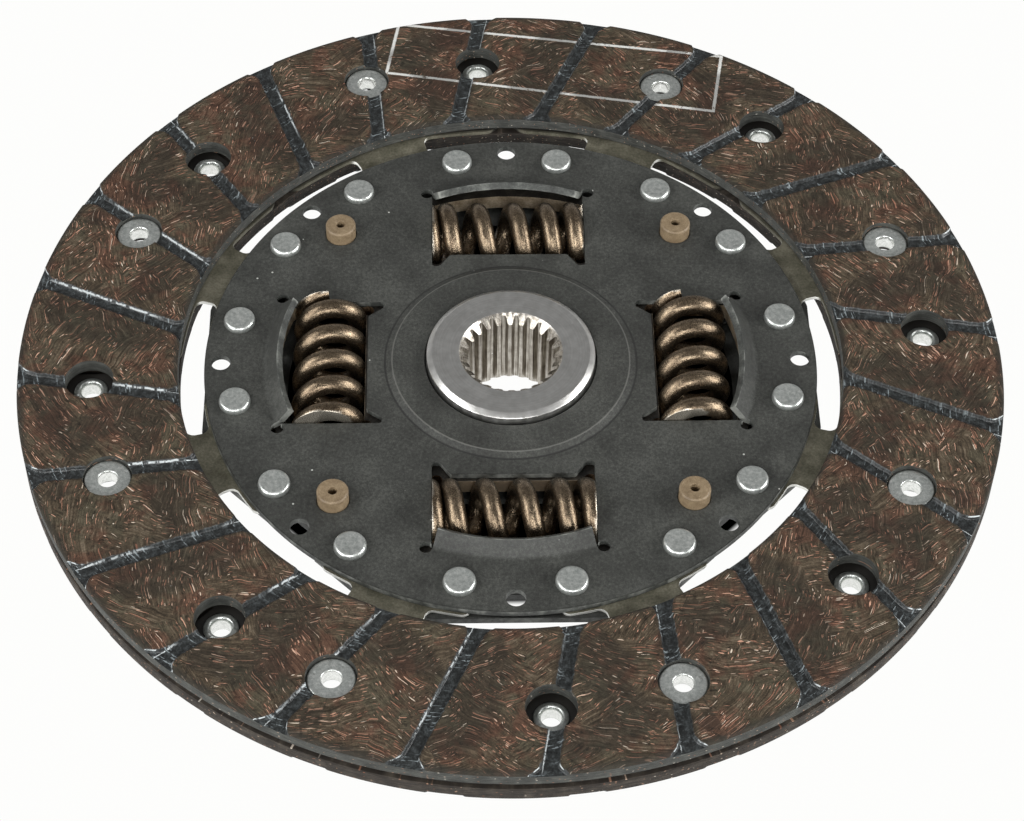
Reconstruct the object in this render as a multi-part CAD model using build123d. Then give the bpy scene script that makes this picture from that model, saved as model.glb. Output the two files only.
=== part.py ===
from build123d import *
import math
import os

# Clutch driven plate (clutch disc) with torsion damper.
# Millimetres. Origin on the disc axis, at the mid-plane of the cushion
# segments. +Z is the axis, towards the pressure-plate side, where the hub
# stands just proud of the damper plate. The spring windows lie on +X, +Y,
# -X and -Y.

os.makedirs("parts", exist_ok=True)

# ---------------------------------------------------------------- dimensions
FACING_OD = 200.0
FACING_ID = 135.4
FACING_T = 3.5
SEG_T = 0.8                     # cushion segment sheet, with its seating
PACK_T = 8.67                   # both facings with the segments relaxed
WAVE = (PACK_T - 2 * FACING_T - SEG_T) / 2      # amplitude of the wave
FACE_IN = PACK_T / 2 - FACING_T                 # inner face of each facing
FACE_OUT = PACK_T / 2                           # friction face

GROOVES = 24
GROOVE_W = 2.6
GROOVE_D = 0.9
GROOVE_A_OUT = 3.0              # angle of the groove at the outer edge
GROOVE_A_IN = 9.2               # and at the inner edge

R_FRIV = 85.45                  # circle of the facing rivets
A_FRIV_FRONT = 21.06            # rivets that hold the front facing, + 45 k
A_FRIV_REAR = 4.05              # rivets that hold the rear facing, + 45 k
CLEAR_R = 4.9                   # counterbores and clearance holes
CBORE_D = 1.75
FRIV_HEAD_R = 4.62
FRIV_HEAD_T = 0.5
FRIV_SHANK_R = 2.45
FRIV_BORE_R = 1.9
FRIV_TAIL_R = 3.4
FRIV_TAIL_H = 0.72

PLATE_R = 62.5
REAR_R = 64.4                   # rim of the rear plate at its corners
REAR_FLAT = 62.3                # its flats on the axes of the windows
REAR_FLAT_D = 61.0              # and on the diagonals
FP_T = 1.5                      # front plate sheet
FP_Z = SEG_T / 2                # its underside at the rim
RP_T = 1.8                      # rear plate sheet
STEP_R = 25.0                   # raised centre of the front plate
STEP_H = 0.75
FP_BORE = 17.65
R_PRIV = 56.84                  # circle of the plate rivets
A_PRIV = 11.57                  # each side of a segment's centre line
PRIV_HEAD_R = 3.25
PRIV_HEAD_H = 1.5
PRIV_SHANK_R = 2.5
R_PILOT = 59.2                  # pilot holes between the segment feet
PILOT_R = 1.95
STUD_PCR = 50.12
STUD_R = 3.15
STUD_TOP = 4.87

WIN_HALF = 16.15                # half length of a spring window
WIN_IN = 29.3                   # its straight inner edge
LIP_FOLD_R = 50.7               # fold line at the middle of the window
LIP_ARC_R = 44.0                # radius of the fold line itself
LIP_BEND = 2.0
LIP_ANGLE = 48.0
LIP_LEN = 3.32
NOTCH_IN = 56.9                 # rear plate's notches behind the pilot holes
NOTCH_HALF = 5.8

FLANGE_TOP = 0.1
FLANGE_T = 3.5
FLANGE_R = 50.3
FLANGE_WIN_OUT = 47.75
FLANGE_WIN_IN = 29.0
TRAVEL = 8.0                    # damper travel each way, degrees

SPRING_PCR = 37.15
SPRING_OD = 15.2
SPRING_WIRE = 3.9
SPRING_PITCH = 6.9
SPRING_LEN = 32.1

HUB_R = 17.25
HUB_TOP = 4.8
HUB_BOTTOM = -15.3
SPLINE_N = 24
SPLINE_MAJOR = 10.1
SPLINE_MINOR = 8.7
HUB_SEAT_R = 18.9

FLOOR_TOP = -5.4                # inside of the dished rear plate

Z0 = FLANGE_TOP - FLANGE_T      # underside of the hub flange
SPRING_Z = FLANGE_TOP - FLANGE_T / 2


def polar(r, a):
    return (r * math.cos(math.radians(a)), r * math.sin(math.radians(a)))


def cyl(r, z0, z1, x=0.0, y=0.0):
    return Pos(x, y, z0) * Cylinder(r, z1 - z0, align=(Align.CENTER, Align.CENTER, Align.MIN))


def block(x0, x1, y0, y1, z0, z1):
    return Pos((x0 + x1) / 2, (y0 + y1) / 2, (z0 + z1) / 2) * Box(x1 - x0, y1 - y0, z1 - z0)


def turned(pts):
    """Solid of revolution about Z of a closed outline of (r, z) points."""
    w = Wire.make_polygon([Vector(r, 0, z) for r, z in pts], close=True)
    return Solid.revolve(Face(w), 360.0, Axis.Z)


def prism(pts, z0, z1):
    w = Wire.make_polygon([Vector(x, y, z0) for x, y in pts], close=True)
    return Solid.extrude(Face(w), Vector(0, 0, z1 - z0))


def one(shape):
    """The single solid of a boolean's result, the largest if it has crumbs."""
    s = sorted(shape.solids(), key=lambda q: q.volume)
    return s[-1]


def save(shape, name, label=None):
    shape.label = name
    export_step(shape, f"parts/{name}.step")
    print(name, len(shape.solids()), round(sum(s.volume for s in shape.solids()), 1))


# ------------------------------------------------------------------ facings
def facing():
    """Front facing: friction face up, at FACE_OUT."""
    ch = 0.35
    ring = turned([
        (FACING_ID / 2, FACE_IN), (FACING_OD / 2, FACE_IN),
        (FACING_OD / 2, FACE_OUT - ch), (FACING_OD / 2 - ch, FACE_OUT),
        (FACING_ID / 2 + ch, FACE_OUT), (FACING_ID / 2, FACE_OUT - ch)])
    cuts = []
    for k in range(GROOVES):
        p = polar(101.5, GROOVE_A_OUT - 0.25 + 15 * k)
        q = polar(65.5, GROOVE_A_IN + 0.6 + 15 * k)
        dx, dy = q[0] - p[0], q[1] - p[1]
        n = math.hypot(dx, dy)
        ux, uy = dx / n, dy / n
        h = GROOVE_W / 2
        pts = [(p[0] - uy * h, p[1] + ux * h), (q[0] - uy * h, q[1] + ux * h),
               (q[0] + uy * h, q[1] - ux * h), (p[0] + uy * h, p[1] - ux * h)]
        cuts.append(prism(pts, FACE_OUT - GROOVE_D, FACE_OUT + 1))
    for k in range(8):
        x, y = polar(R_FRIV, A_FRIV_FRONT + 45 * k)
        cuts.append(cyl(CLEAR_R, FACE_OUT - CBORE_D, FACE_OUT + 1, x, y))
        cuts.append(cyl(FRIV_SHANK_R + 0.1, FACE_IN - 1, FACE_OUT + 1, x, y))
        x, y = polar(R_FRIV, A_FRIV_REAR + 45 * k)
        cuts.append(cyl(CLEAR_R, FACE_IN - 1, FACE_OUT + 1, x, y))
    return one(ring.cut(*cuts))


front_facing = facing()
save(front_facing, "front_facing")
# the rear facing is the same part turned over
rear_facing = Rot(0, 0, A_FRIV_FRONT + A_FRIV_REAR) * (Rot(180, 0, 0) * front_facing)
save(rear_facing, "rear_facing")


# --------------------------------------------------------- cushion segments
def arc_pts(r, a0, a1, n):
    return [polar(r, a0 + (a1 - a0) * i / n) for i in range(n + 1)]


def segment_outline():
    """Foot, neck and paddle of a segment, centred on +Y (90 degrees)."""
    foot_in, foot_out, foot_a = 52.9, 62.95, 14.4
    neck_a = 6.8
    pad_in, pad_out, pad_a = 67.6, 99.0, 21.6
    w = [
        polar(foot_in, 90 - foot_a), polar(foot_out, 90 - foot_a),
        polar(foot_out, 90 - neck_a), polar(pad_in, 90 - neck_a),
        polar(pad_in, 90 - pad_a), polar(pad_out, 90 - pad_a),
        polar(pad_out, 90 + pad_a), polar(pad_in, 90 + pad_a),
        polar(pad_in, 90 + neck_a), polar(foot_out, 90 + neck_a),
        polar(foot_out, 90 + foot_a), polar(foot_in, 90 + foot_a)]

    def V(p):
        return Vector(p[0], p[1], -3)

    def arc(a, r, am, b):
        return Edge.make_three_point_arc(V(a), V(polar(r, am)), V(b))
    e = [
        Edge.make_line(V(w[0]), V(w[1])),
        arc(w[1], foot_out, 90 - (foot_a + neck_a) / 2, w[2]),
        Edge.make_line(V(w[2]), V(w[3])),
        arc(w[3], pad_in, 90 - (pad_a + neck_a) / 2, w[4]),
        Edge.make_line(V(w[4]), V(w[5])),
        arc(w[5], pad_out, 90, w[6]),
        Edge.make_line(V(w[6]), V(w[7])),
        arc(w[7], pad_in, 90 + (pad_a + neck_a) / 2, w[8]),
        Edge.make_line(V(w[8]), V(w[9])),
        arc(w[9], foot_out, 90 + (foot_a + neck_a) / 2, w[10]),
        Edge.make_line(V(w[10]), V(w[11])),
        arc(w[11], foot_in, 90, w[0])]
    body = Solid.extrude(Face(Wire(e)), Vector(0, 0, 6))
    # round the upright corners: tight at foot and neck, wide on the paddle
    def up(r, a):
        x, y = polar(r, a)
        return [q for q in body.edges() if q.geom_type == GeomType.LINE
                and abs(q.center().X - x) < 0.05 and abs(q.center().Y - y) < 0.05]
    tight, neck, wide = [], [], []
    for s in (-1, 1):
        tight += up(foot_in, 90 + s * foot_a) + up(foot_out, 90 + s * foot_a)
        neck += up(foot_out, 90 + s * neck_a) + up(pad_in, 90 + s * neck_a)
        wide += up(pad_in, 90 + s * pad_a) + up(pad_out, 90 + s * pad_a)
    body = body.fillet(1.6, tight)
    body = body.fillet(1.7, [q for q in body.edges() if q.geom_type == GeomType.LINE and any(
        abs(q.center().X - n.center().X) < 0.05 and abs(q.center().Y - n.center().Y) < 0.05 for n in neck)])
    body = body.fillet(4.0, [q for q in body.edges() if q.geom_type == GeomType.LINE and any(
        abs(q.center().X - n.center().X) < 0.05 and abs(q.center().Y - n.center().Y) < 0.05 for n in wide)])
    return body


def smooth(t):
    t = max(0.0, min(1.0, t))
    return t * t * (3 - 2 * t)


def segment():
    """Wavy sheet centred on +Y. It meets the front facing at its front rivet
    and the rear facing at its rear rivet."""
    crest = A_FRIV_FRONT - 22.5                  # degrees from the centre line
    period = 2 * (A_FRIV_FRONT - A_FRIV_REAR)

    def z(x, y):
        r = math.hypot(x, y)
        a = math.degrees(math.atan2(-x, y))      # anticlockwise from +Y
        amp = (WAVE - 0.012) * smooth((r - 62.8) / 6.5)
        return amp * math.cos(2 * math.pi * (a - crest) / period)

    nx, ny = 41, 25
    pts = []
    for i in range(nx):
        x = -40 + 80 * i / (nx - 1)
        row = []
        for j in range(ny):
            y = 46 + 56 * j / (ny - 1)
            row.append(Vector(x, y, z(x, y) - SEG_T / 2 + 0.012))
        pts.append(row)
    low = Face.make_surface_from_array_of_points(pts, tol=0.002, min_deg=3, max_deg=6)
    # the sheet is thin and shallow, so a straight extrusion along Z keeps its
    # thickness to a few microns
    sheet = Solid.extrude(low, Vector(0, 0, SEG_T - 0.024))
    body = one(segment_outline().intersect(sheet))
    cuts = []
    for s in (-1, 1):
        x, y = polar(R_PRIV, 90 + s * A_PRIV)
        cuts.append(cyl(PRIV_SHANK_R + 0.05, -3, 3, x, y))
    for a in (A_FRIV_FRONT, A_FRIV_REAR):
        x, y = polar(R_FRIV, 90 + a - 22.5)
        cuts.append(cyl(FRIV_SHANK_R + 0.05, -3, 3, x, y))
    return one(body.cut(*cuts))


seg = segment()
for k in range(8):
    save(Rot(0, 0, 22.5 + 45 * k - 90) * seg, f"cushion_segment_{k + 1}")


# -------------------------------------------------------------- front plate
def window_pts():
    """Window on +Y: straight inner edge with a rounded notch at each corner."""
    return [(WIN_HALF, 46.0), (WIN_HALF, 26.9), (15.3, 26.2), (14.5, 26.4),
            (12.4, WIN_IN), (-12.4, WIN_IN), (-14.5, 26.4), (-15.3, 26.2),
            (-WIN_HALF, 26.9), (-WIN_HALF, 46.0)]


def lip_profile(zc, up, fold, angle, length, t, bend):
    """Section of a guide lip that folds out of a plate whose mid-plane is at
    zc, as (r, z) points: up is +1 for a lip that rises."""
    h = t / 2
    outer, inner = [], []
    outer.append((fold + 1.5, zc + up * h))
    inner.append((fold + 1.5, zc - up * h))
    n = 8
    for i in range(n + 1):
        th = math.radians(angle) * i / n
        cx, cz = fold, zc + up * bend
        mx, mz = cx - bend * math.sin(th), cz - up * bend * math.cos(th)
        nx, nz = math.sin(th), up * math.cos(th)
        outer.append((mx + h * nx, mz + h * nz))
        inner.append((mx - h * nx, mz - h * nz))
    th = math.radians(angle)
    mx, mz = fold - bend * math.sin(th), zc + up * (bend - bend * math.cos(th))
    ex, ez = mx - length * math.cos(th), mz + up * length * math.sin(th)
    outer.append((ex + h * math.sin(th), ez + up * h * math.cos(th)))
    inner.append((ex - h * math.sin(th), ez - up * h * math.cos(th)))
    return outer + inner[::-1]


def lips(profile, half, arc_r, fold):
    """Four lips. The profile is given for an arc of radius arc_r about a point
    that lies fold - arc_r out from the axis."""
    ring = turned([(r - (fold - arc_r), z) for r, z in profile]).moved(Pos(0, fold - arc_r, 0))
    lip = one(ring.intersect(block(-half, half, 38, 56, -20, 20)))
    return [Rot(0, 0, 90 * k) * lip for k in range(4)]


def front_plate():
    z0, z1 = FP_Z, FP_Z + FP_T
    a, b = STEP_R + 0.7, STEP_R - 0.7
    body = turned([
        (PLATE_R - 0.25, z0), (PLATE_R, z0 + 0.2), (PLATE_R, z1 - 0.35), (PLATE_R - 0.35, z1),
        (a + 0.15, z1), (b + 0.15, z1 + STEP_H), (FP_BORE + 0.2, z1 + STEP_H), (FP_BORE, z1 + STEP_H - 0.2),
        (FP_BORE, z0 + STEP_H), (b - 0.45, z0 + STEP_H), (a - 0.45, z0)])
    cuts = []
    win = prism(window_pts(), z0 - 1, z1 + 3)
    off = LIP_FOLD_R - LIP_ARC_R
    holes = []
    # the strip that is folded up into the lip, up to its fold line
    strip = one(cyl(LIP_ARC_R + 0.2, z0 - 1, z1 + 1, 0, off).intersect(
        block(-WIN_HALF, WIN_HALF, 45, 55, z0 - 2, z1 + 2)))
    for k in range(4):
        r = Rot(0, 0, 90 * k)
        cuts.append(r * win)
        cuts.append(r * strip)
        for s in (-1, 1):
            holes.append(r * cyl(1.3, z0 - 1, z1 + 1.2, s * (WIN_HALF + 1.1), 47.1))
    for k in range(8):
        for s in (-1, 1):
            x, y = polar(R_PRIV, 22.5 + 45 * k + s * A_PRIV)
            cuts.append(cyl(PRIV_SHANK_R + 0.05, z0 - 1, z1 + 1, x, y))
        x, y = polar(R_PILOT, 45 * k)
        cuts.append(cyl(PILOT_R, z0 - 1, z1 + 1, x, y))
    for k in range(4):
        x, y = polar(STUD_PCR, 45 + 90 * k)
        cuts.append(cyl(STUD_R + 0.12, z0 - 1, z1 + 1, x, y))
    body = body.cut(*cuts)
    prof = lip_profile(z0 + FP_T / 2, 1, LIP_FOLD_R, LIP_ANGLE, LIP_LEN, FP_T, LIP_BEND)
    body = body.fuse(*lips(prof, WIN_HALF - 0.08, LIP_ARC_R, LIP_FOLD_R))
    return one(body.cut(*holes))


save(front_plate(), "front_plate")


# --------------------------------------------------------------- rear plate
def rear_plate():
    top = -SEG_T / 2
    t = RP_T
    fl = FLOOR_TOP
    slope = math.radians(60)
    half = (t / 2) * math.tan(slope / 2)
    rc = 52.9                                    # corner of the mid line
    rf = rc - (abs(fl) - abs(top)) / math.tan(slope)
    outer = turned([
        (0, top), (REAR_R, top), (REAR_R, top - t), (rc + half, top - t),
        (rf + half, fl - t), (0, fl - t)])
    inner = turned([(0, top + 1), (rc - half, top + 1), (rc - half, top), (rf - half, fl), (0, fl)])
    adds, cuts = [], [inner]
    for k in range(4):
        x, y = polar(STUD_PCR, 45 + 90 * k)
        adds.append(cyl(5.6, fl - 0.6, top, x, y))
        cuts.append(cyl(3.9, -4.8, top + 1, x, y))
    body = outer.fuse(*adds)
    fold = 48.6
    win = [(WIN_HALF, 45.0), (WIN_HALF, 28.6), (15.2, 27.8), (14.3, 28.0), (12.8, 30.0),
           (-12.8, 30.0), (-14.3, 28.0), (-15.2, 27.8), (-WIN_HALF, 28.6), (-WIN_HALF, 45.0)]
    for k in range(4):
        cuts.append(Rot(0, 0, 90 * k) * prism(win, fl - t - 2, fl + 0.2))
        strip = one(cyl(fold + 0.2, fl - t - 1, fl + 0.2).intersect(
            block(-WIN_HALF, WIN_HALF, 44, 55, fl - t - 2, fl + 1)))
        cuts.append(Rot(0, 0, 90 * k) * strip)
    for k in range(8):
        for s in (-1, 1):
            x, y = polar(R_PRIV, 22.5 + 45 * k + s * A_PRIV)
            cuts.append(cyl(PRIV_SHANK_R + 0.05, top - t - 1, top + 1, x, y))
        d = REAR_FLAT if k % 2 == 0 else REAR_FLAT_D
        cuts.append(Rot(0, 0, 45 * k) * block(-30, 30, d, 70, top - t - 1, top + 1))
        # open notch, but on -Y a closed slot that leaves a narrow strip
        out = 66 if k != 4 else d - 1.75
        notch = block(-NOTCH_HALF, NOTCH_HALF, NOTCH_IN, out, top - t - 1, top + 1)
        notch = notch.fillet(1.5, [q for q in notch.edges().filter_by(Axis.Z) if q.center().Y < 62])
        cuts.append(Rot(0, 0, 45 * k) * notch)
    cuts.append(cyl(19.0, fl - t - 1, top + 1))
    body = body.cut(*cuts)
    prof = lip_profile(fl - t / 2, -1, fold, 50.0, 1.2, t, 1.6)
    ring = lips(prof, WIN_HALF - 0.3, fold, fold)
    return one(body.fuse(*ring))


save(rear_plate(), "rear_plate")


# ------------------------------------------------------------------- rivets
def plate_rivet():
    zt = FP_Z + FP_T
    zb = -SEG_T / 2 - RP_T
    r, h, s = PRIV_HEAD_R, PRIV_HEAD_H, PRIV_SHANK_R
    return turned([
        (0, zt + h), (r - 0.75, zt + h), (r - 0.28, zt + h - 0.16), (r, zt + h - 0.5), (r, zt + 0.12), (r - 0.12, zt),
        (s, zt), (s, zb), (r - 0.1, zb), (r - 0.05, zb - 0.7), (r - 0.6, zb - 1.2), (0, zb - 1.25)])


def group(solids, name):
    c = Compound(children=list(solids))
    save(c, name)


rv = plate_rivet()
group([Pos(*polar(R_PRIV, 22.5 + 45 * k + s * A_PRIV), 0) * rv for k in range(8) for s in (-1, 1)], "plate_rivets")


def facing_rivet():
    """Hollow rivet that holds the front facing: flat head up, rolled tail."""
    z1 = FACE_OUT - CBORE_D
    z0 = FACE_IN - SEG_T
    t, b, s, q = FRIV_HEAD_T, FRIV_BORE_R, FRIV_SHANK_R, FRIV_TAIL_R
    return turned([
        (b + 0.25, z1 + t), (FRIV_HEAD_R - 0.15, z1 + t), (FRIV_HEAD_R, z1 + t - 0.15), (FRIV_HEAD_R, z1),
        (s, z1), (s, z0), (q - 0.1, z0 - 0.09), (q, z0 - 0.22), (q - 0.12, z0 - 0.42), (q - 0.7, z0 - 0.64),
        (b + 0.55, z0 - FRIV_TAIL_H), (b + 0.28, z0 - 0.6), (b + 0.1, z0 - 0.3), (b, z0 + 0.1), (b, z1 + t - 0.3)])


fr = facing_rivet()
group([Pos(*polar(R_FRIV, A_FRIV_FRONT + 45 * k), 0) * fr for k in range(8)], "front_facing_rivets")
rr = Rot(180, 0, 0) * fr
group([Pos(*polar(R_FRIV, A_FRIV_REAR + 45 * k), 0) * rr for k in range(8)], "rear_facing_rivets")


# ---------------------------------------------------------- hub and flange
def teeth(n, r_tip, r_root, w_tip, w_root, phase=0.0):
    """Closed outline of n teeth; w_* are tooth widths in degrees."""
    pts = []
    step = 360 / n
    for k in range(n):
        a = k * step + phase
        pts += [polar(r_root, a - w_root / 2), polar(r_tip, a - w_tip / 2),
                polar(r_tip, a + w_tip / 2), polar(r_root, a + w_root / 2)]
    return pts


def hub():
    c = 1.15
    body = turned([
        (0, HUB_BOTTOM), (HUB_R - 0.8, HUB_BOTTOM), (HUB_R, HUB_BOTTOM + 0.8), (HUB_R, Z0),
        (HUB_R, FLANGE_TOP), (HUB_R, HUB_TOP - 0.75), (HUB_R - c, HUB_TOP), (0, HUB_TOP)])
    band = prism(teeth(32, HUB_SEAT_R, HUB_R - 0.2, 4.6, 7.0), Z0, FLANGE_TOP)
    body = body.fuse(band)
    bore = prism(teeth(SPLINE_N, SPLINE_MAJOR, SPLINE_MINOR, 4.4, 9.6, 7.5), HUB_BOTTOM - 1, HUB_TOP + 1)
    core = cyl(SPLINE_MINOR, HUB_BOTTOM - 1, HUB_TOP + 1)
    d = 10.65 - (SPLINE_MINOR - 0.3)
    mouth = turned([(0, HUB_TOP + 0.5), (10.65 + 0.5, HUB_TOP + 0.5), (SPLINE_MINOR - 0.3, HUB_TOP - d), (0, HUB_TOP - d)])
    # the rear end only has its edge broken
    e = SPLINE_MAJOR + 0.2 - (SPLINE_MINOR - 0.3)
    tail = turned([(0, HUB_BOTTOM - 0.5), (SPLINE_MAJOR + 0.7, HUB_BOTTOM - 0.5), (SPLINE_MINOR - 0.3, HUB_BOTTOM + e), (0, HUB_BOTTOM + e)])
    return one(body.cut(bore, core, mouth, tail))


save(hub(), "hub")


def hub_flange():
    body = cyl(FLANGE_R, Z0, FLANGE_TOP)
    cuts = [prism(teeth(32, HUB_SEAT_R + 0.03, HUB_R + 0.03, 4.8, 7.3), Z0 - 1, FLANGE_TOP + 1),
            cyl(HUB_R + 0.03, Z0 - 1, FLANGE_TOP + 1)]
    for k in range(4):
        r = Rot(0, 0, 90 * k)
        w = one(cyl(FLANGE_WIN_OUT, Z0 - 1, FLANGE_TOP + 1).intersect(
            block(-WIN_HALF, WIN_HALF, FLANGE_WIN_IN, 55, Z0 - 2, FLANGE_TOP + 2)))
        cuts.append(r * w)
        for s in (-1, 1):
            cuts.append(r * cyl(1.2, Z0 - 1, FLANGE_TOP + 1, s * (WIN_HALF - 0.9), FLANGE_WIN_IN + 0.4))
        # open notch on the diagonal, for the stud's travel
        half = TRAVEL + math.degrees((STUD_R + 0.35) / STUD_PCR)
        n = 10
        pts = [polar(54, 45 + half + 0.2)] + [polar(46.6, 45 + half - 2 * half * i / n) for i in range(n + 1)] + [polar(54, 45 - half - 0.2)]
        cuts.append(r * prism(pts, Z0 - 1, FLANGE_TOP + 1))
    return one(body.cut(*cuts))


save(hub_flange(), "hub_flange")


# ------------------------------------------------------------ friction train
def friction_carrier():
    """Moulded thrust ring with four arms, each with a stud that rises through
    a notch in the hub flange and a hole in the front plate."""
    z1 = Z0 - 0.05
    z0 = z1 - 1.0
    ring = cyl(27.0, z0, z1).cut(cyl(17.6, z0 - 1, z1 + 1))
    adds, cuts = [], []
    for k in range(4):
        r = Rot(0, 0, 45 + 90 * k)
        adds.append(r * block(24, STUD_PCR, -3.0, 3.0, z0, z1 - 0.25))
        x, y = polar(STUD_PCR, 45 + 90 * k)
        adds.append(turned([(0, z0), (STUD_R, z0), (STUD_R, STUD_TOP - 0.3), (STUD_R - 0.3, STUD_TOP), (0, STUD_TOP)]).moved(Pos(x, y, 0)))
        cuts.append(cyl(0.95, STUD_TOP - 3.0, STUD_TOP + 1, x, y))
    return one(ring.fuse(*adds).cut(*cuts))


save(friction_carrier(), "friction_carrier")

# flat friction ring under the raised centre of the front plate
zr = FP_Z + STEP_H
save(one(cyl(23.6, FLANGE_TOP + 0.05, zr).cut(cyl(HUB_R + 0.1, -1, 5))), "front_friction_ring")

# conical spring that loads the friction carrier against the hub flange
zc = Z0 - 1.05
save(turned([(20.2, FLOOR_TOP), (20.7, FLOOR_TOP), (26.2, zc - 0.5 + 0.06), (26.2, zc), (25.7, zc), (20.2, FLOOR_TOP + 0.5)]), "disc_spring")

# bush that centres the hub in the rear plate
save(turned([(HUB_R + 0.05, FLOOR_TOP - RP_T - 1.2), (21.0, FLOOR_TOP - RP_T - 1.2), (21.0, FLOOR_TOP - RP_T),
             (19.0, FLOOR_TOP - RP_T), (19.0, FLOOR_TOP + 0.6), (HUB_R + 0.05, FLOOR_TOP + 0.6)]), "rear_bush")


# ------------------------------------------------------------ damper springs
def damper_spring():
    """Right-hand coil spring along X, over the +Y window, with its ends
    ground flat. Coils are at their installed pitch."""
    rm = (SPRING_OD - SPRING_WIRE) / 2
    turns = 5.0
    path = Helix(pitch=SPRING_PITCH, height=SPRING_PITCH * turns, radius=rm)
    start = path @ 0
    tan = path % 0
    prof = Plane(origin=start, z_dir=tan) * Circle(SPRING_WIRE / 2)
    coil = sweep(prof, path=path)
    coil = Pos(0, 0, -SPRING_PITCH * turns / 2) * coil
    coil = coil & Box(40, 40, SPRING_LEN)
    coil = Rot(0, 90, 0) * coil                      # helix axis onto X
    return one(Pos(0, SPRING_PCR, SPRING_Z) * coil)


sp = damper_spring()
for k in range(4):
    save(Rot(0, 0, 90 * k) * sp, f"damper_spring_{k + 1}")
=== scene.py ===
import bpy, bmesh, math, random
from mathutils import Matrix, Vector
from mathutils.geometry import delaunay_2d_cdt


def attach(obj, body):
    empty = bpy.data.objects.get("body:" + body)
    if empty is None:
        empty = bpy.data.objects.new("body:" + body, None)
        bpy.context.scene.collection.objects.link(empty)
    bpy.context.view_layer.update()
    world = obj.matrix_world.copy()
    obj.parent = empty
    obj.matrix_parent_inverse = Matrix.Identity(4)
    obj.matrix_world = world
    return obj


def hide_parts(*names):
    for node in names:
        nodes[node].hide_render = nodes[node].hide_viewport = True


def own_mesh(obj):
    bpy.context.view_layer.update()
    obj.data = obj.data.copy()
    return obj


# Clutch disc. Mesh code below works in millimetres and scales to metres when a mesh is made.
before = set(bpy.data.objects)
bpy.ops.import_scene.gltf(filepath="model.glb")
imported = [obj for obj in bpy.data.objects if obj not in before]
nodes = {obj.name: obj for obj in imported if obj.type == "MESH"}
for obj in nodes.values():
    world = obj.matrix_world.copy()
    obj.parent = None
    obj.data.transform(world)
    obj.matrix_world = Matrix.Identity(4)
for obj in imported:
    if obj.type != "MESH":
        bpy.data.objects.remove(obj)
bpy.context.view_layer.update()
scene = bpy.context.scene
MM = 0.001

# the record's dimensions, as the CAD has them
FACE_OUT, FACE_IN = 4.335, 0.835
R_OUT, R_IN = 100.0, 67.7
R_FRIV, A_FRONT, A_REAR = 85.45, 21.06, 4.05
HOLE_R, CBORE = 4.9, 1.75


def pol(r, a):
    return (r * math.cos(math.radians(a)), r * math.sin(math.radians(a)))


def lerp(x, xs, ys):
    if x <= xs[0]:
        return ys[0]
    for i in range(1, len(xs)):
        if x <= xs[i]:
            t = (x - xs[i - 1]) / (xs[i] - xs[i - 1])
            return ys[i - 1] + t * (ys[i] - ys[i - 1])
    return ys[-1]


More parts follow.
